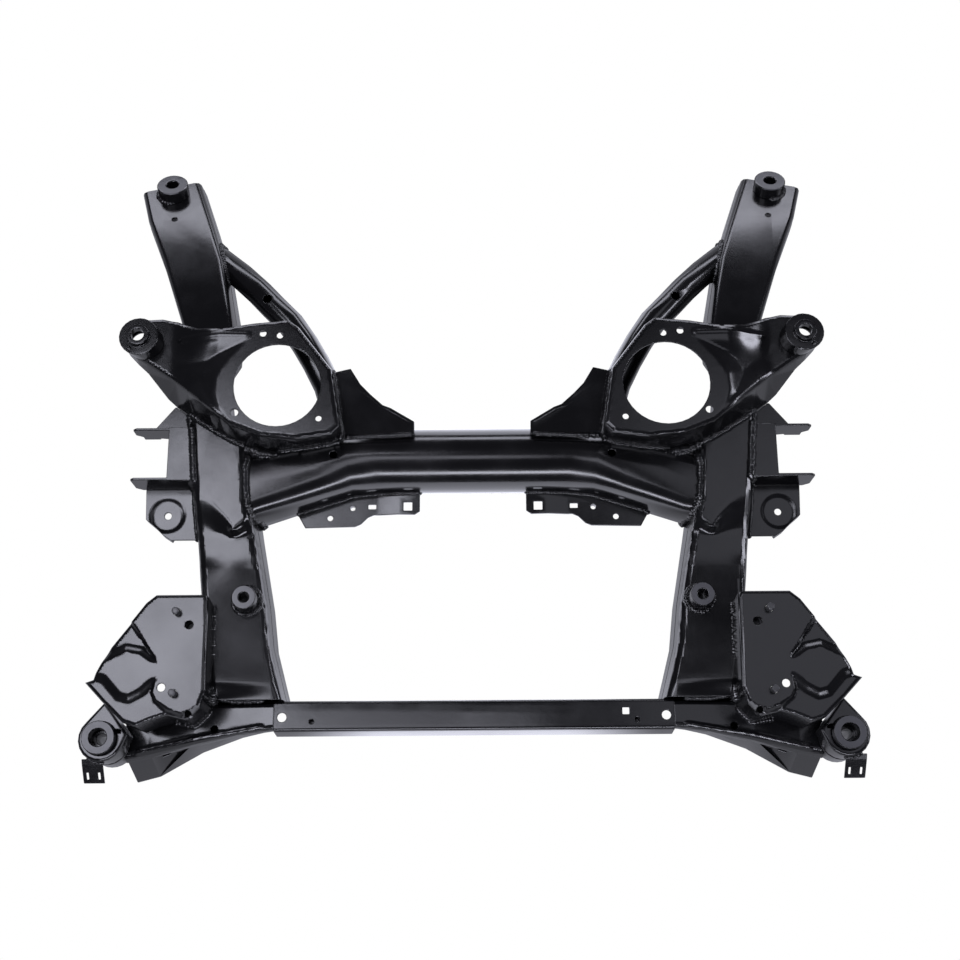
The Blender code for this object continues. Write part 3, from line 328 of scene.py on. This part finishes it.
def cut_cells(form, side, cell, x_range, y_range):
    """Cut a piece into small cells over a range of the drawing."""
    cut_rows(form, *y_range, cell)
    slice_mesh(form, 0, [side_sign(side) * x for x in even_places(*x_range, cell)])


def drawing_range(name):
    """The X and Y ranges of a CAD node on the drawing."""
    low, high = (drawing_spot(Vector(corner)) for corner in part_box(name))
    return (min(low.x, high.x), max(low.x, high.x)), (low.y, high.y)


def faces_up(vertex):
    """Whether a vertex lies on the upper skin of a sheet."""
    return any(face.normal.z > SKIN_UP for face in vertex.link_faces)


def height_below(tree, x, y, side):
    """Height of a CAD surface under a spot of the drawing, in millimetres."""
    start = Vector((side_sign(side) * x * MM, (y - DRAWING_ZERO) * MM, PROBE_HEIGHT))
    hit = tree.ray_cast(start, Vector((0, 0, -1)))[0]
    return hit.z / MM if hit is not None else None


def press_perch(form, side):
    """The smooth fall to the ear, the sunk pocket and the ridge along the rear edge."""
    tree = BVHTree.FromBMesh(form)
    name = node_name("mount_perch", side)
    start, end = PERCH_SLOPE
    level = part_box(name)[1][2] / MM
    past = end + PERCH_EAR_INSIDE
    ear = height_below(tree, past, PERCH_SLOPE_LINE, side)
    cut_cells(form, side, PERCH_CELL, *drawing_range(name))
    for vertex in form.verts:
        spot = drawing_spot(vertex.co)
        plate = level
        if spot.x > PERCH_FALL:
            plate = height_below(tree, min(spot.x, past), PERCH_SLOPE_LINE, side) or ear
        smooth = level - (level - ear) * ease((spot.x - start) / (end - start))
        move = smooth - plate
        if vertex.co.z / MM > plate - PERCH_SKIN:
            gone, whole = PERCH_POCKET_FADE
            sunk = min(1.0, depth_inside(spot, PERCH_POCKET) / PERCH_POCKET_WALL)
            sunk *= ease((gone - spot.x) / (gone - whole))
            straight = PERCH_POCKET_STRAIGHT
            move -= PERCH_POCKET_DEPTH * (straight * sunk + (1.0 - straight) * ease(sunk))
            away = line_distance(spot, PERCH_RIDGE)
            move += PERCH_RIDGE_HEIGHT * ease(1.0 - away / PERCH_RIDGE_HALF)
        vertex.co.z += move * MM


def press_corner(form, side):
    """The raised pad with the rounded bulge that runs out of it."""
    cut_cells(form, side, CORNER_CELL, *drawing_range(node_name("corner_plate", side)))
    form.normal_update()
    lifts = {}
    full, none = CORNER_SKIN_DEPTH
    for vertex in form.verts:
        height, up = vertex.co.z / MM, faces_up(vertex)
        flat = CORNER_FACE if up else CORNER_FACE - CORNER_SHEET
        spot = drawing_spot(vertex.co)
        rise = max(ease(depth_inside(spot, CORNER_PAD) / CORNER_PAD_WALL),
                   ease(depth_inside(spot, CORNER_BULGE) / CORNER_BULGE_WALL))
        share = ease((none - (CORNER_FACE - height)) / (none - full))
        lifts[vertex] = min(height, flat) + CORNER_RISE * rise * share
    for vertex, height in lifts.items():
        vertex.co.z = height * MM


def rail_top_wanted(spot):
    """The height that the rail's top gets at a spot of the swage, and its lean there."""
    first, last = along_path(SWAGE_START, spot.x), SWAGE_END
    fall = ease((first - spot.y) / (first - last)) if spot.y < first else 0.0
    wanted = SWAGE_HIGH + (SWAGE_LOW - SWAGE_HIGH) * fall
    lean = RAIL_FRONT_TILT * (spot.x - RAIL_FRONT_MIDDLE)
    lean *= ease((RAIL_LEAN_START - spot.y) / RAIL_LEAN_RUN)
    return wanted, lean


def press_waist(form, shift, tuck):
    """Move the rail's inner wall outwards at the waist, and both walls closer in."""
    for vertex in form.verts:
        spot = drawing_spot(vertex.co)
        sign = math.copysign(1.0, vertex.co.x)
        start, full, last, end = WAIST_Y
        share = ease((spot.y - start) / (full - start)) * ease((end - spot.y) / (end - last))
        inner = spot.x < rail_middle(spot.y)
        vertex.co.x += sign * (tuck if inner else -tuck) * MM
        if inner:
            vertex.co.x += sign * shift * share * MM


def rail_middle(y):
    """X halfway between the rail's walls, on its way from the front to the arm's end."""
    return along_path(RAIL_MIDDLES, y)


def press_rail(form, side):
    """The swage ahead of the cross tube, and the leaning top in front of it."""
    tree = BVHTree.FromBMesh(form)
    _, (front, _) = drawing_range(node_name("side_rail_upper", side))
    cut_rows(form, front, SWAGE_Y[0], RAIL_FAR_CELL)
    for stretch in (SWAGE_Y, RAIL_FRONT_END):
        cut_rows(form, *stretch, RAIL_CELL)
    near = [face for face in form.faces
            if drawing_spot(face.calc_center_median()).y < SWAGE_Y[1]]
    for x in even_places(*RAIL_CUT_X, RAIL_CELL):
        parts = {item for face in near if face.is_valid
                 for item in (face, *face.edges, *face.verts)}
        cut = bmesh.ops.bisect_plane(form, geom=list(parts), dist=CUT_TOLERANCE,
                                     plane_co=(side_sign(side) * x, 0, 0), plane_no=(1, 0, 0))
        near = [item for item in cut["geom"] if isinstance(item, bmesh.types.BMFace)]
    full, none = RAIL_SKIN_DEPTH
    for vertex in form.verts:
        spot = drawing_spot(vertex.co)
        if spot.y > SWAGE_Y[1]:
            continue
        cad = height_below(tree, RAIL_FRONT_MIDDLE, spot.y, side) or SWAGE_LOW
        wanted, lean = rail_top_wanted(spot)
        if spot.y < SWAGE_END:
            raised = SWAGE_LOW + RAIL_FRONT_RISE * (SWAGE_END - spot.y)
            end, whole = RAIL_FRONT_END
            kept = ease((spot.y - end) / (whole - end))
            wanted = cad + (raised - cad) * kept
            lean *= kept
        depth = cad - vertex.co.z / MM
        share = ease((none - depth) / (none - full))
        vertex.co.z += (wanted - cad + lean) * share * MM
    press_waist(form, WAIST_UPPER, 0.0)


def press_tray(form, side):
    """The lower shell, tucked in and narrowed at the waist."""
    slice_mesh(form, 1, [(y - DRAWING_ZERO) * MM for y in WAIST_Y])
    press_waist(form, WAIST_LOWER, TRAY_TUCK)


def press_lug(form, side):
    """The round sunk field about the lug's hole."""
    cut_cells(form, side, LUG_CELL, *drawing_range(node_name("link_lug", side)))
    x, y, radius = LUG_DISC
    for vertex in form.verts:
        inside = radius - (drawing_spot(vertex.co) - Vector((x, y))).length
        vertex.co.z -= LUG_DISC_DEPTH * ease(inside / LUG_DISC_WALL) * MM


def press_box(form, side):
    """The lip along the roof's front edge."""
    tree = BVHTree.FromBMesh(form)
    cut_cells(form, side, BOX_CELL, *drawing_range(node_name("front_box_upper", side)))
    for vertex in form.verts:
        spot = drawing_spot(vertex.co)
        roof = height_below(tree, spot.x, BOX_ROOF_LINE, side)
        if roof is not None and vertex.co.z / MM > roof - BOX_RIM_DEPTH:
            lip = ease(1.0 - line_distance(spot, BOX_LIP) / BOX_LIP_HALF)
            vertex.co.z += BOX_LIP_HEIGHT * lip * MM


def bare_ends(piece, material):
    """Give the flat top of a ring its own duller finish."""
    piece.data.materials.append(material)
    for face in piece.data.polygons:
        if face.normal.z > RING_UP:
            top = max(vertex.co.dot(face.normal) for vertex in piece.data.vertices)
            if face.center.dot(face.normal) > top - RING_DEPTH:
                face.material_index = 1


# Weld beads

def seam_edges(form, tree, centre):
    """Edges of a rim that touches the neighbour, as pairs of points with the outward way."""
    near = {vertex: tree.find_nearest(vertex.co, TOUCH)[0] is not None for vertex in form.verts}
    rims = {face for face in form.faces if all(near[vertex] for vertex in face.verts)}
    pairs = []
    for edge in form.edges:
        touching = [face for face in edge.link_faces if face in rims]
        skins = [face for face in edge.link_faces if face not in rims]
        if len(touching) == 1 and len(skins) == 1 and all(near[v] for v in edge.verts):
            middle = (edge.verts[0].co + edge.verts[1].co) / 2
            outward = skins[0].normal
            if outward.dot(middle - centre) > 0 or outward.z > RIM_UP:
                pairs.append((edge.verts[0], edge.verts[1], outward.copy()))
    return pairs


def chains(pairs):
    """Join seam edges into runs of points, each with its outward way."""
    links = {}
    for a, b, way in pairs:
        links.setdefault(a, []).append((b, way))
        links.setdefault(b, []).append((a, way))
    used, runs = set(), []
    ends = [v for v in links if len(links[v]) != 2] + list(links)
    for start in ends:
        for following, way in links[start]:
            if frozenset((start, following)) in used:
                continue
            run, here = [(start.co.copy(), way)], start
            while following is not None:
                used.add(frozenset((here, following)))
                run.append((following.co.copy(), way))
                here, following = following, None
                for other, onward in links[here]:
                    if frozenset((here, other)) not in used and len(links[here]) == 2:
                        following, way = other, onward
                        break
            runs.append(run)
    return runs


def resample(run, step):
    """Even points along a run, with the outward way carried along."""
    points, spare = [run[0]], 0.0
    for (a, way_a), (b, way_b) in zip(run, run[1:]):
        length = (b - a).length
        along = step - spare
        while along <= length:
            share = along / length
            points.append((a.lerp(b, share), way_a.lerp(way_b, share)))
            along += step
        spare = (spare + length) % step
    return points


def smooth_run(points):
    """Ease the corners of a run."""
    for _ in range(BEAD_SMOOTHING):
        eased = [points[0]]
        for before, here, after in zip(points, points[1:], points[2:]):
            eased.append((here[0] * 0.5 + (before[0] + after[0]) * 0.25,
                          here[1] * 0.5 + (before[1] + after[1]) * 0.25))
        points = eased + [points[-1]]
    return points


def sweep_bead(form, run, radius, tree, luck):
    """Sweep one rippled bead along a run of points."""
    points = smooth_run(resample(run, BEAD_STEP))
    count = len(points)
    if count * BEAD_STEP < SHORTEST_BEAD:
        return
    phase, rings = luck.random() * math.pi, []
    for index, (spot, way) in enumerate(points):
        hit = tree.find_nearest(spot) if tree else (None, None)
        lift = hit[1] if hit[1] is not None else way
        ahead = points[min(count - 1, index + 1)][0] - points[max(0, index - 1)][0]
        ahead = ahead.normalized() if ahead.length > 1e-9 else Vector((1, 0, 0))
        across = ahead.cross(way + lift).normalized()
        up = across.cross(ahead).normalized()
        ripple = abs(math.sin(index * BEAD_STEP / BEAD_PITCH * math.pi + phase))
        wander = noise.noise(spot * BEAD_WANDER_GRAIN)
        end = min(1.0, BEAD_TAPER + min(index, count - 1 - index) * BEAD_TAPER)
        size = radius * (BEAD_SIZE + BEAD_RIPPLE * ripple + BEAD_WANDER * wander) * end
        centre = (spot + way.normalized() * radius * BEAD_OUT
                  + lift.normalized() * radius * BEAD_LIFT)
        centre += across * wander * radius * BEAD_SWAY
        ring = []
        for side in range(BEAD_SIDES):
            turn = 2 * math.pi * side / BEAD_SIDES
            offset = across * math.cos(turn) * BEAD_WIDE + up * math.sin(turn) * BEAD_TALL
            rough = 1.0 + BEAD_ROUGH * noise.noise((spot + offset * size) * BEAD_ROUGH_GRAIN)
            ring.append(form.verts.new(centre + offset * size * rough))
        rings.append(ring)
    for first, second in zip(rings, rings[1:]):
        for i in range(BEAD_SIDES):
            j = (i + 1) % BEAD_SIDES
            form.faces.new((first[i], first[j], second[j], second[i]))
    form.faces.new(list(reversed(rings[0])))
    form.faces.new(rings[-1])


def add_beads(name, beads, material):
    """Put swept beads in the scene as one piece."""
    if not beads.faces:
        beads.free()
        return
    bmesh.ops.recalc_face_normals(beads, faces=beads.faces[:])
    piece = add_piece(name, beads, material, "gloss_black_paint")
    shade_smooth(piece.data)


def weld(name, welded, carrier, radius, material):
    """All beads between two CAD nodes, as one piece."""
    source = node_form(welded)
    target = node_form(carrier)
    tree = BVHTree.FromBMesh(target)
    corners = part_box(welded)
    centre = (Vector(corners[0]) + Vector(corners[1])) / 2
    runs = chains(seam_edges(source, tree, centre))
    luck = random.Random(name)
    beads = bmesh.new()
    for run in runs:
        sweep_bead(beads, run, radius * MM, tree, luck)
    source.free()
    target.free()
    add_beads(name, beads, material)


def free_bead(name, path, radius, material):
    """A bead along points of the drawing, each with its height."""
    for side in SIDES:
        run = [(Vector((side_sign(side) * x, y - DRAWING_ZERO, z)) * MM, Vector((0, 0, 1)))
               for x, y, z in path]
        beads = bmesh.new()
        sweep_bead(beads, run, radius * MM, None, random.Random(name + side))
        add_beads("weld_" + name + "_" + side, beads, material)


def weld_all(material):
    """Every weld on both sides."""
    for name, radius, path in FREE_BEADS:
        free_bead(name, path, radius, material)
    for label, welded, carrier, radius in WELDS:
        for side in SIDES:
            a, b = node_name(welded, side), node_name(carrier, side)
            weld("weld_" + label + "_" + side, a, b, radius, material)


# Materials

PEEL_HEIGHT = 0.4 * MM
FINE_PEEL = 0.05           # share of the fine grain in the orange peel
SPECK = (0.16, 0.16, 0.17)
SPECULAR = 0.55
# Scales of the paint's noises
HAZE_GRAIN, FINE_GRAIN, SPECK_GRAIN, RARE_GRAIN = 14.0, 900.0, 190.0, 45.0
# Ramps over those noises: stops of position and grey
SPECK_STOPS = ((0.0, 1.0), (0.045, 0.0))     # a speck's size
RARE_STOPS = ((0.66, 0.0), (0.70, 1.0))      # where specks lie at all
HAZE_STOPS = ((0.45, 0.0), (0.75, 0.35))     # where dust dulls the colour
GLOSS_RANGE = (0.3, 0.7)   # the part of the haze over which the roughness goes from low to high
# Coats: name, colour, dusty colour, lowest and highest roughness, strength and scale of the peel
COATS = (
    ("gloss_black_paint", (0.0035, 0.0035, 0.004), (0.012, 0.012, 0.0135), 0.13, 0.24, 0.09, 130.0),
    ("weld_black_paint", (0.005, 0.005, 0.0055), (0.03, 0.03, 0.033), 0.10, 0.22, 0.40, 420.0),
    ("satin_stud", (0.03, 0.03, 0.032), (0.09, 0.09, 0.095), 0.25, 0.42, 0.2, 600.0),
    ("ring_face", (0.045, 0.045, 0.050), (0.08, 0.08, 0.088), 0.26, 0.38, 0.12, 700.0),
)
# Sockets of the Mix node when it mixes colours
MIX_FACTOR, MIX_A, MIX_B, MIX_RESULT = 0, 6, 7, 2


def node_of(tree, kind, **values):
    """Add a shader node with some input values."""
    node = tree.nodes.new(kind)
    for key, value in values.items():
        node.inputs[key.replace("_", " ")].default_value = value
    return node


def noise_of(tree, coordinates, scale, detail, roughness=0.5):
    """A noise texture on object coordinates."""
    texture = node_of(tree, "ShaderNodeTexNoise", Scale=scale, Detail=detail, Roughness=roughness)
    tree.links.new(coordinates.outputs["Object"], texture.inputs["Vector"])
    return texture


def ramp_of(tree, source, stops):
    """A colour ramp over a grey input: stops are position and grey."""
    ramp = tree.nodes.new("ShaderNodeValToRGB")
    elements = ramp.color_ramp.elements
    while len(elements) < len(stops):
        elements.new(0.5)
    for element, (place, grey) in zip(elements, stops):
        element.position = place
        element.color = (grey, grey, grey, 1.0)
    tree.links.new(source, ramp.inputs["Fac"])
    return ramp


def range_of(tree, source, target):
    """A node that maps one range of values to another."""
    mapped = tree.nodes.new("ShaderNodeMapRange")
    mapped.inputs["From Min"].default_value, mapped.inputs["From Max"].default_value = source
    mapped.inputs["To Min"].default_value, mapped.inputs["To Max"].default_value = target
    return mapped


def mix_of(tree, factor, a, b):
    """Mix two colours: each is a socket or a colour."""
    mix = tree.nodes.new("ShaderNodeMix")
    mix.data_type = "RGBA"
    for value, place in ((factor, MIX_FACTOR), (a, MIX_A), (b, MIX_B)):
        if isinstance(value, bpy.types.NodeSocket):
            tree.links.new(value, mix.inputs[place])
        else:
            mix.inputs[place].default_value = value
    return mix.outputs[MIX_RESULT]


def paint_material(name, colour, dusty, rough_low, rough_high, peel, peel_scale):
    """Sprayed paint: orange peel, uneven gloss, faint dust and pinpoint specks."""
    material = bpy.data.materials.new(name)
    material.use_nodes = True
    tree = material.node_tree
    shader = tree.nodes["Principled BSDF"]
    place = tree.nodes.new("ShaderNodeTexCoord")
    broad = noise_of(tree, place, HAZE_GRAIN, 4.0, 0.6)
    fine = noise_of(tree, place, FINE_GRAIN, 2.0, 0.6)
    specks = node_of(tree, "ShaderNodeTexVoronoi", Scale=SPECK_GRAIN)
    tree.links.new(place.outputs["Object"], specks.inputs["Vector"])
    speck_mask = ramp_of(tree, specks.outputs["Distance"], SPECK_STOPS)
    rare = ramp_of(tree, noise_of(tree, place, RARE_GRAIN, 2.0).outputs["Fac"], RARE_STOPS)
    both = tree.nodes.new("ShaderNodeMath")
    both.operation = "MULTIPLY"
    tree.links.new(speck_mask.outputs["Color"], both.inputs[0])
    tree.links.new(rare.outputs["Color"], both.inputs[1])
    haze = ramp_of(tree, broad.outputs["Fac"], HAZE_STOPS)
    base = mix_of(tree, haze.outputs["Color"], (*colour, 1.0), (*dusty, 1.0))
    base = mix_of(tree, both.outputs[0], base, (*SPECK, 1.0))
    tree.links.new(base, shader.inputs["Base Color"])
    gloss = range_of(tree, GLOSS_RANGE, (rough_low, rough_high))
    tree.links.new(broad.outputs["Fac"], gloss.inputs["Value"])
    tree.links.new(gloss.outputs["Result"], shader.inputs["Roughness"])
    bump = node_of(tree, "ShaderNodeBump", Strength=peel, Distance=PEEL_HEIGHT)
    waves = noise_of(tree, place, peel_scale, 2.0)
    height = tree.nodes.new("ShaderNodeMath")
    height.operation = "MULTIPLY_ADD"
    height.inputs[1].default_value = FINE_PEEL
    tree.links.new(fine.outputs["Fac"], height.inputs[0])
    tree.links.new(waves.outputs["Fac"], height.inputs[2])
    tree.links.new(height.outputs[0], bump.inputs["Height"])
    tree.links.new(bump.outputs["Normal"], shader.inputs["Normal"])
    shader.inputs["Specular IOR Level"].default_value = SPECULAR
    return material


# Studio

def floor_material():
    """The pale floor: what the camera sees of it, and what it throws on the part.

    Below the part what it throws is painted shade; through the open middle it throws a painted
    brighter glow.
    """
    material = bpy.data.materials.new("studio_floor")
    material.use_nodes = True
    tree = material.node_tree
    tree.nodes.clear()
    out = tree.nodes.new("ShaderNodeOutputMaterial")
    path = tree.nodes.new("ShaderNodeLightPath")
    shown = tree.nodes.new("ShaderNodeEmission")
    shown.inputs["Color"].default_value = (FLOOR_SEEN, FLOOR_SEEN, FLOOR_SEEN, 1.0)
    thrown = tree.nodes.new("ShaderNodeEmission")
    place = tree.nodes.new("ShaderNodeTexCoord")
    axes = tree.nodes.new("ShaderNodeSeparateXYZ")
    tree.links.new(place.outputs["Object"], axes.inputs[0])
    across = tree.nodes.new("ShaderNodeMath")
    across.operation = "ABSOLUTE"
    tree.links.new(axes.outputs["X"], across.inputs[0])
    middle = range_of(tree, OPEN_MIDDLE, (1.0, 0.0))
    middle.interpolation_type = "SMOOTHSTEP"
    tree.links.new(across.outputs[0], middle.inputs["Value"])
    # painted shade below the frame and painted light in the open middle, in the glow thrown on the
    # part
    colour = mix_of(tree, middle.outputs["Result"], (*FLOOR_PAINTED_SHADE, 1.0), (*FLOOR_PAINTED_LIT, 1.0))
    tree.links.new(colour, thrown.inputs["Color"])
    mix = tree.nodes.new("ShaderNodeMixShader")
    tree.links.new(path.outputs["Is Camera Ray"], mix.inputs["Fac"])
    tree.links.new(thrown.outputs["Emission"], mix.inputs[1])
    tree.links.new(shown.outputs["Emission"], mix.inputs[2])
    tree.links.new(mix.outputs["Shader"], out.inputs["Surface"])
    return material


def add_floor():
    """A wide pale floor under the part."""
    form = bmesh.new()
    bmesh.ops.create_grid(form, x_segments=1, y_segments=1, size=FLOOR_HALF)
    mesh = bpy.data.meshes.new("studio_floor")
    form.to_mesh(mesh)
    form.free()
    floor = bpy.data.objects.new("studio_floor", mesh)
    floor.location = (0, 0, -FLOOR_DROP)
    bpy.context.scene.collection.objects.link(floor)
    mesh.materials.append(floor_material())


def add_world():
    """White where the camera looks past the floor, and a dark room for the reflections."""
    world = bpy.data.worlds.new("studio")
    bpy.context.scene.world = world
    world.use_nodes = True
    tree = world.node_tree
    tree.nodes.clear()
    out = tree.nodes.new("ShaderNodeOutputWorld")
    path = tree.nodes.new("ShaderNodeLightPath")
    back = tree.nodes.new("ShaderNodeBackground")
    colour = mix_of(tree, path.outputs["Is Camera Ray"], (*ROOM_GLOW, 1), (1, 1, 1, 1))
    tree.links.new(colour, back.inputs["Color"])
    tree.links.new(back.outputs["Background"], out.inputs["Surface"])


def add_softbox(name, centre, aim, width, height, power):
    """A rectangular light at a place, turned towards a point."""
    light = bpy.data.lights.new(name, "AREA")
    light.shape = "RECTANGLE"
    light.size = width
    light.size_y = height
    light.energy = power
    light.color = STUDIO_TINT
    lamp = bpy.data.objects.new(name, light)
    lamp.location = centre
    lamp.rotation_euler = (Vector(aim) - Vector(centre)).to_track_quat("-Z", "Y").to_euler()
    bpy.context.scene.collection.objects.link(lamp)


def add_overhead(name, x_range, y_range, power):
    """A level softbox above the part over a range of X and Y."""
    x, y = sum(x_range) / 2, sum(y_range) / 2
    add_softbox(name, (x, y, OVERHEAD), (x, y, 0.0), x_range[1] - x_range[0],
                y_range[1] - y_range[0], power)


def add_lights():
    """Softboxes overhead, a strip in front and weak ones behind and beside."""
    for overhead in OVERHEADS:
        add_overhead(*overhead)
    for strip in STRIPS:
        add_softbox(*strip)


def add_camera():
    """The camera at the photograph's view."""
    lens = bpy.data.cameras.new("photo_view")
    lens.sensor_width = CAMERA_SENSOR
    lens.lens = CAMERA_LENS
    camera = bpy.data.objects.new("photo_view", lens)
    back = Vector((0, -math.cos(CAMERA_ELEVATION), math.sin(CAMERA_ELEVATION)))
    place = Matrix.Translation(CAMERA_TARGET + back * CAMERA_DISTANCE)
    tilt = Matrix.Rotation(math.pi / 2 - CAMERA_ELEVATION, 4, "X")
    camera.matrix_world = place @ tilt @ Matrix.Rotation(-CAMERA_ROLL, 4, "Z")
    bpy.context.scene.collection.objects.link(camera)
    bpy.context.scene.camera = camera


PRESSES = {"mount_perch": press_perch, "corner_plate": press_corner,
           "side_rail_upper": press_rail, "side_rail_lower": press_tray,
           "link_lug": press_lug, "front_box_upper": press_box}


def dress_part():
    """Rounded pieces for every CAD node, and the welds between them."""
    gloss, over_weld, satin, ring = [paint_material(*coat) for coat in COATS]
    for name in sorted(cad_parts):
        if "stud" in name or "nut" in name:
            piece = pressed_piece(name, satin, "plated_steel", STUD_ROUND)
        else:
            piece = pressed_piece(name, gloss, "gloss_black_paint", EDGE_ROUND)
        if name.startswith(RINGED):
            bare_ends(piece, ring)
    weld_all(over_weld)


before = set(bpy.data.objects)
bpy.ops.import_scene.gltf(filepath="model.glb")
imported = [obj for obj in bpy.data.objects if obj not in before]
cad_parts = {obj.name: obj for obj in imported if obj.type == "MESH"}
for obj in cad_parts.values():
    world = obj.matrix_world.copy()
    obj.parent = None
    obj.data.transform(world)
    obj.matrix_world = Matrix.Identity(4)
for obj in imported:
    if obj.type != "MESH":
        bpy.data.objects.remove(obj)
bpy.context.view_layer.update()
add_camera()
add_world()
add_floor()
add_lights()
dress_part()
bpy.context.scene.view_settings.view_transform = "Standard"
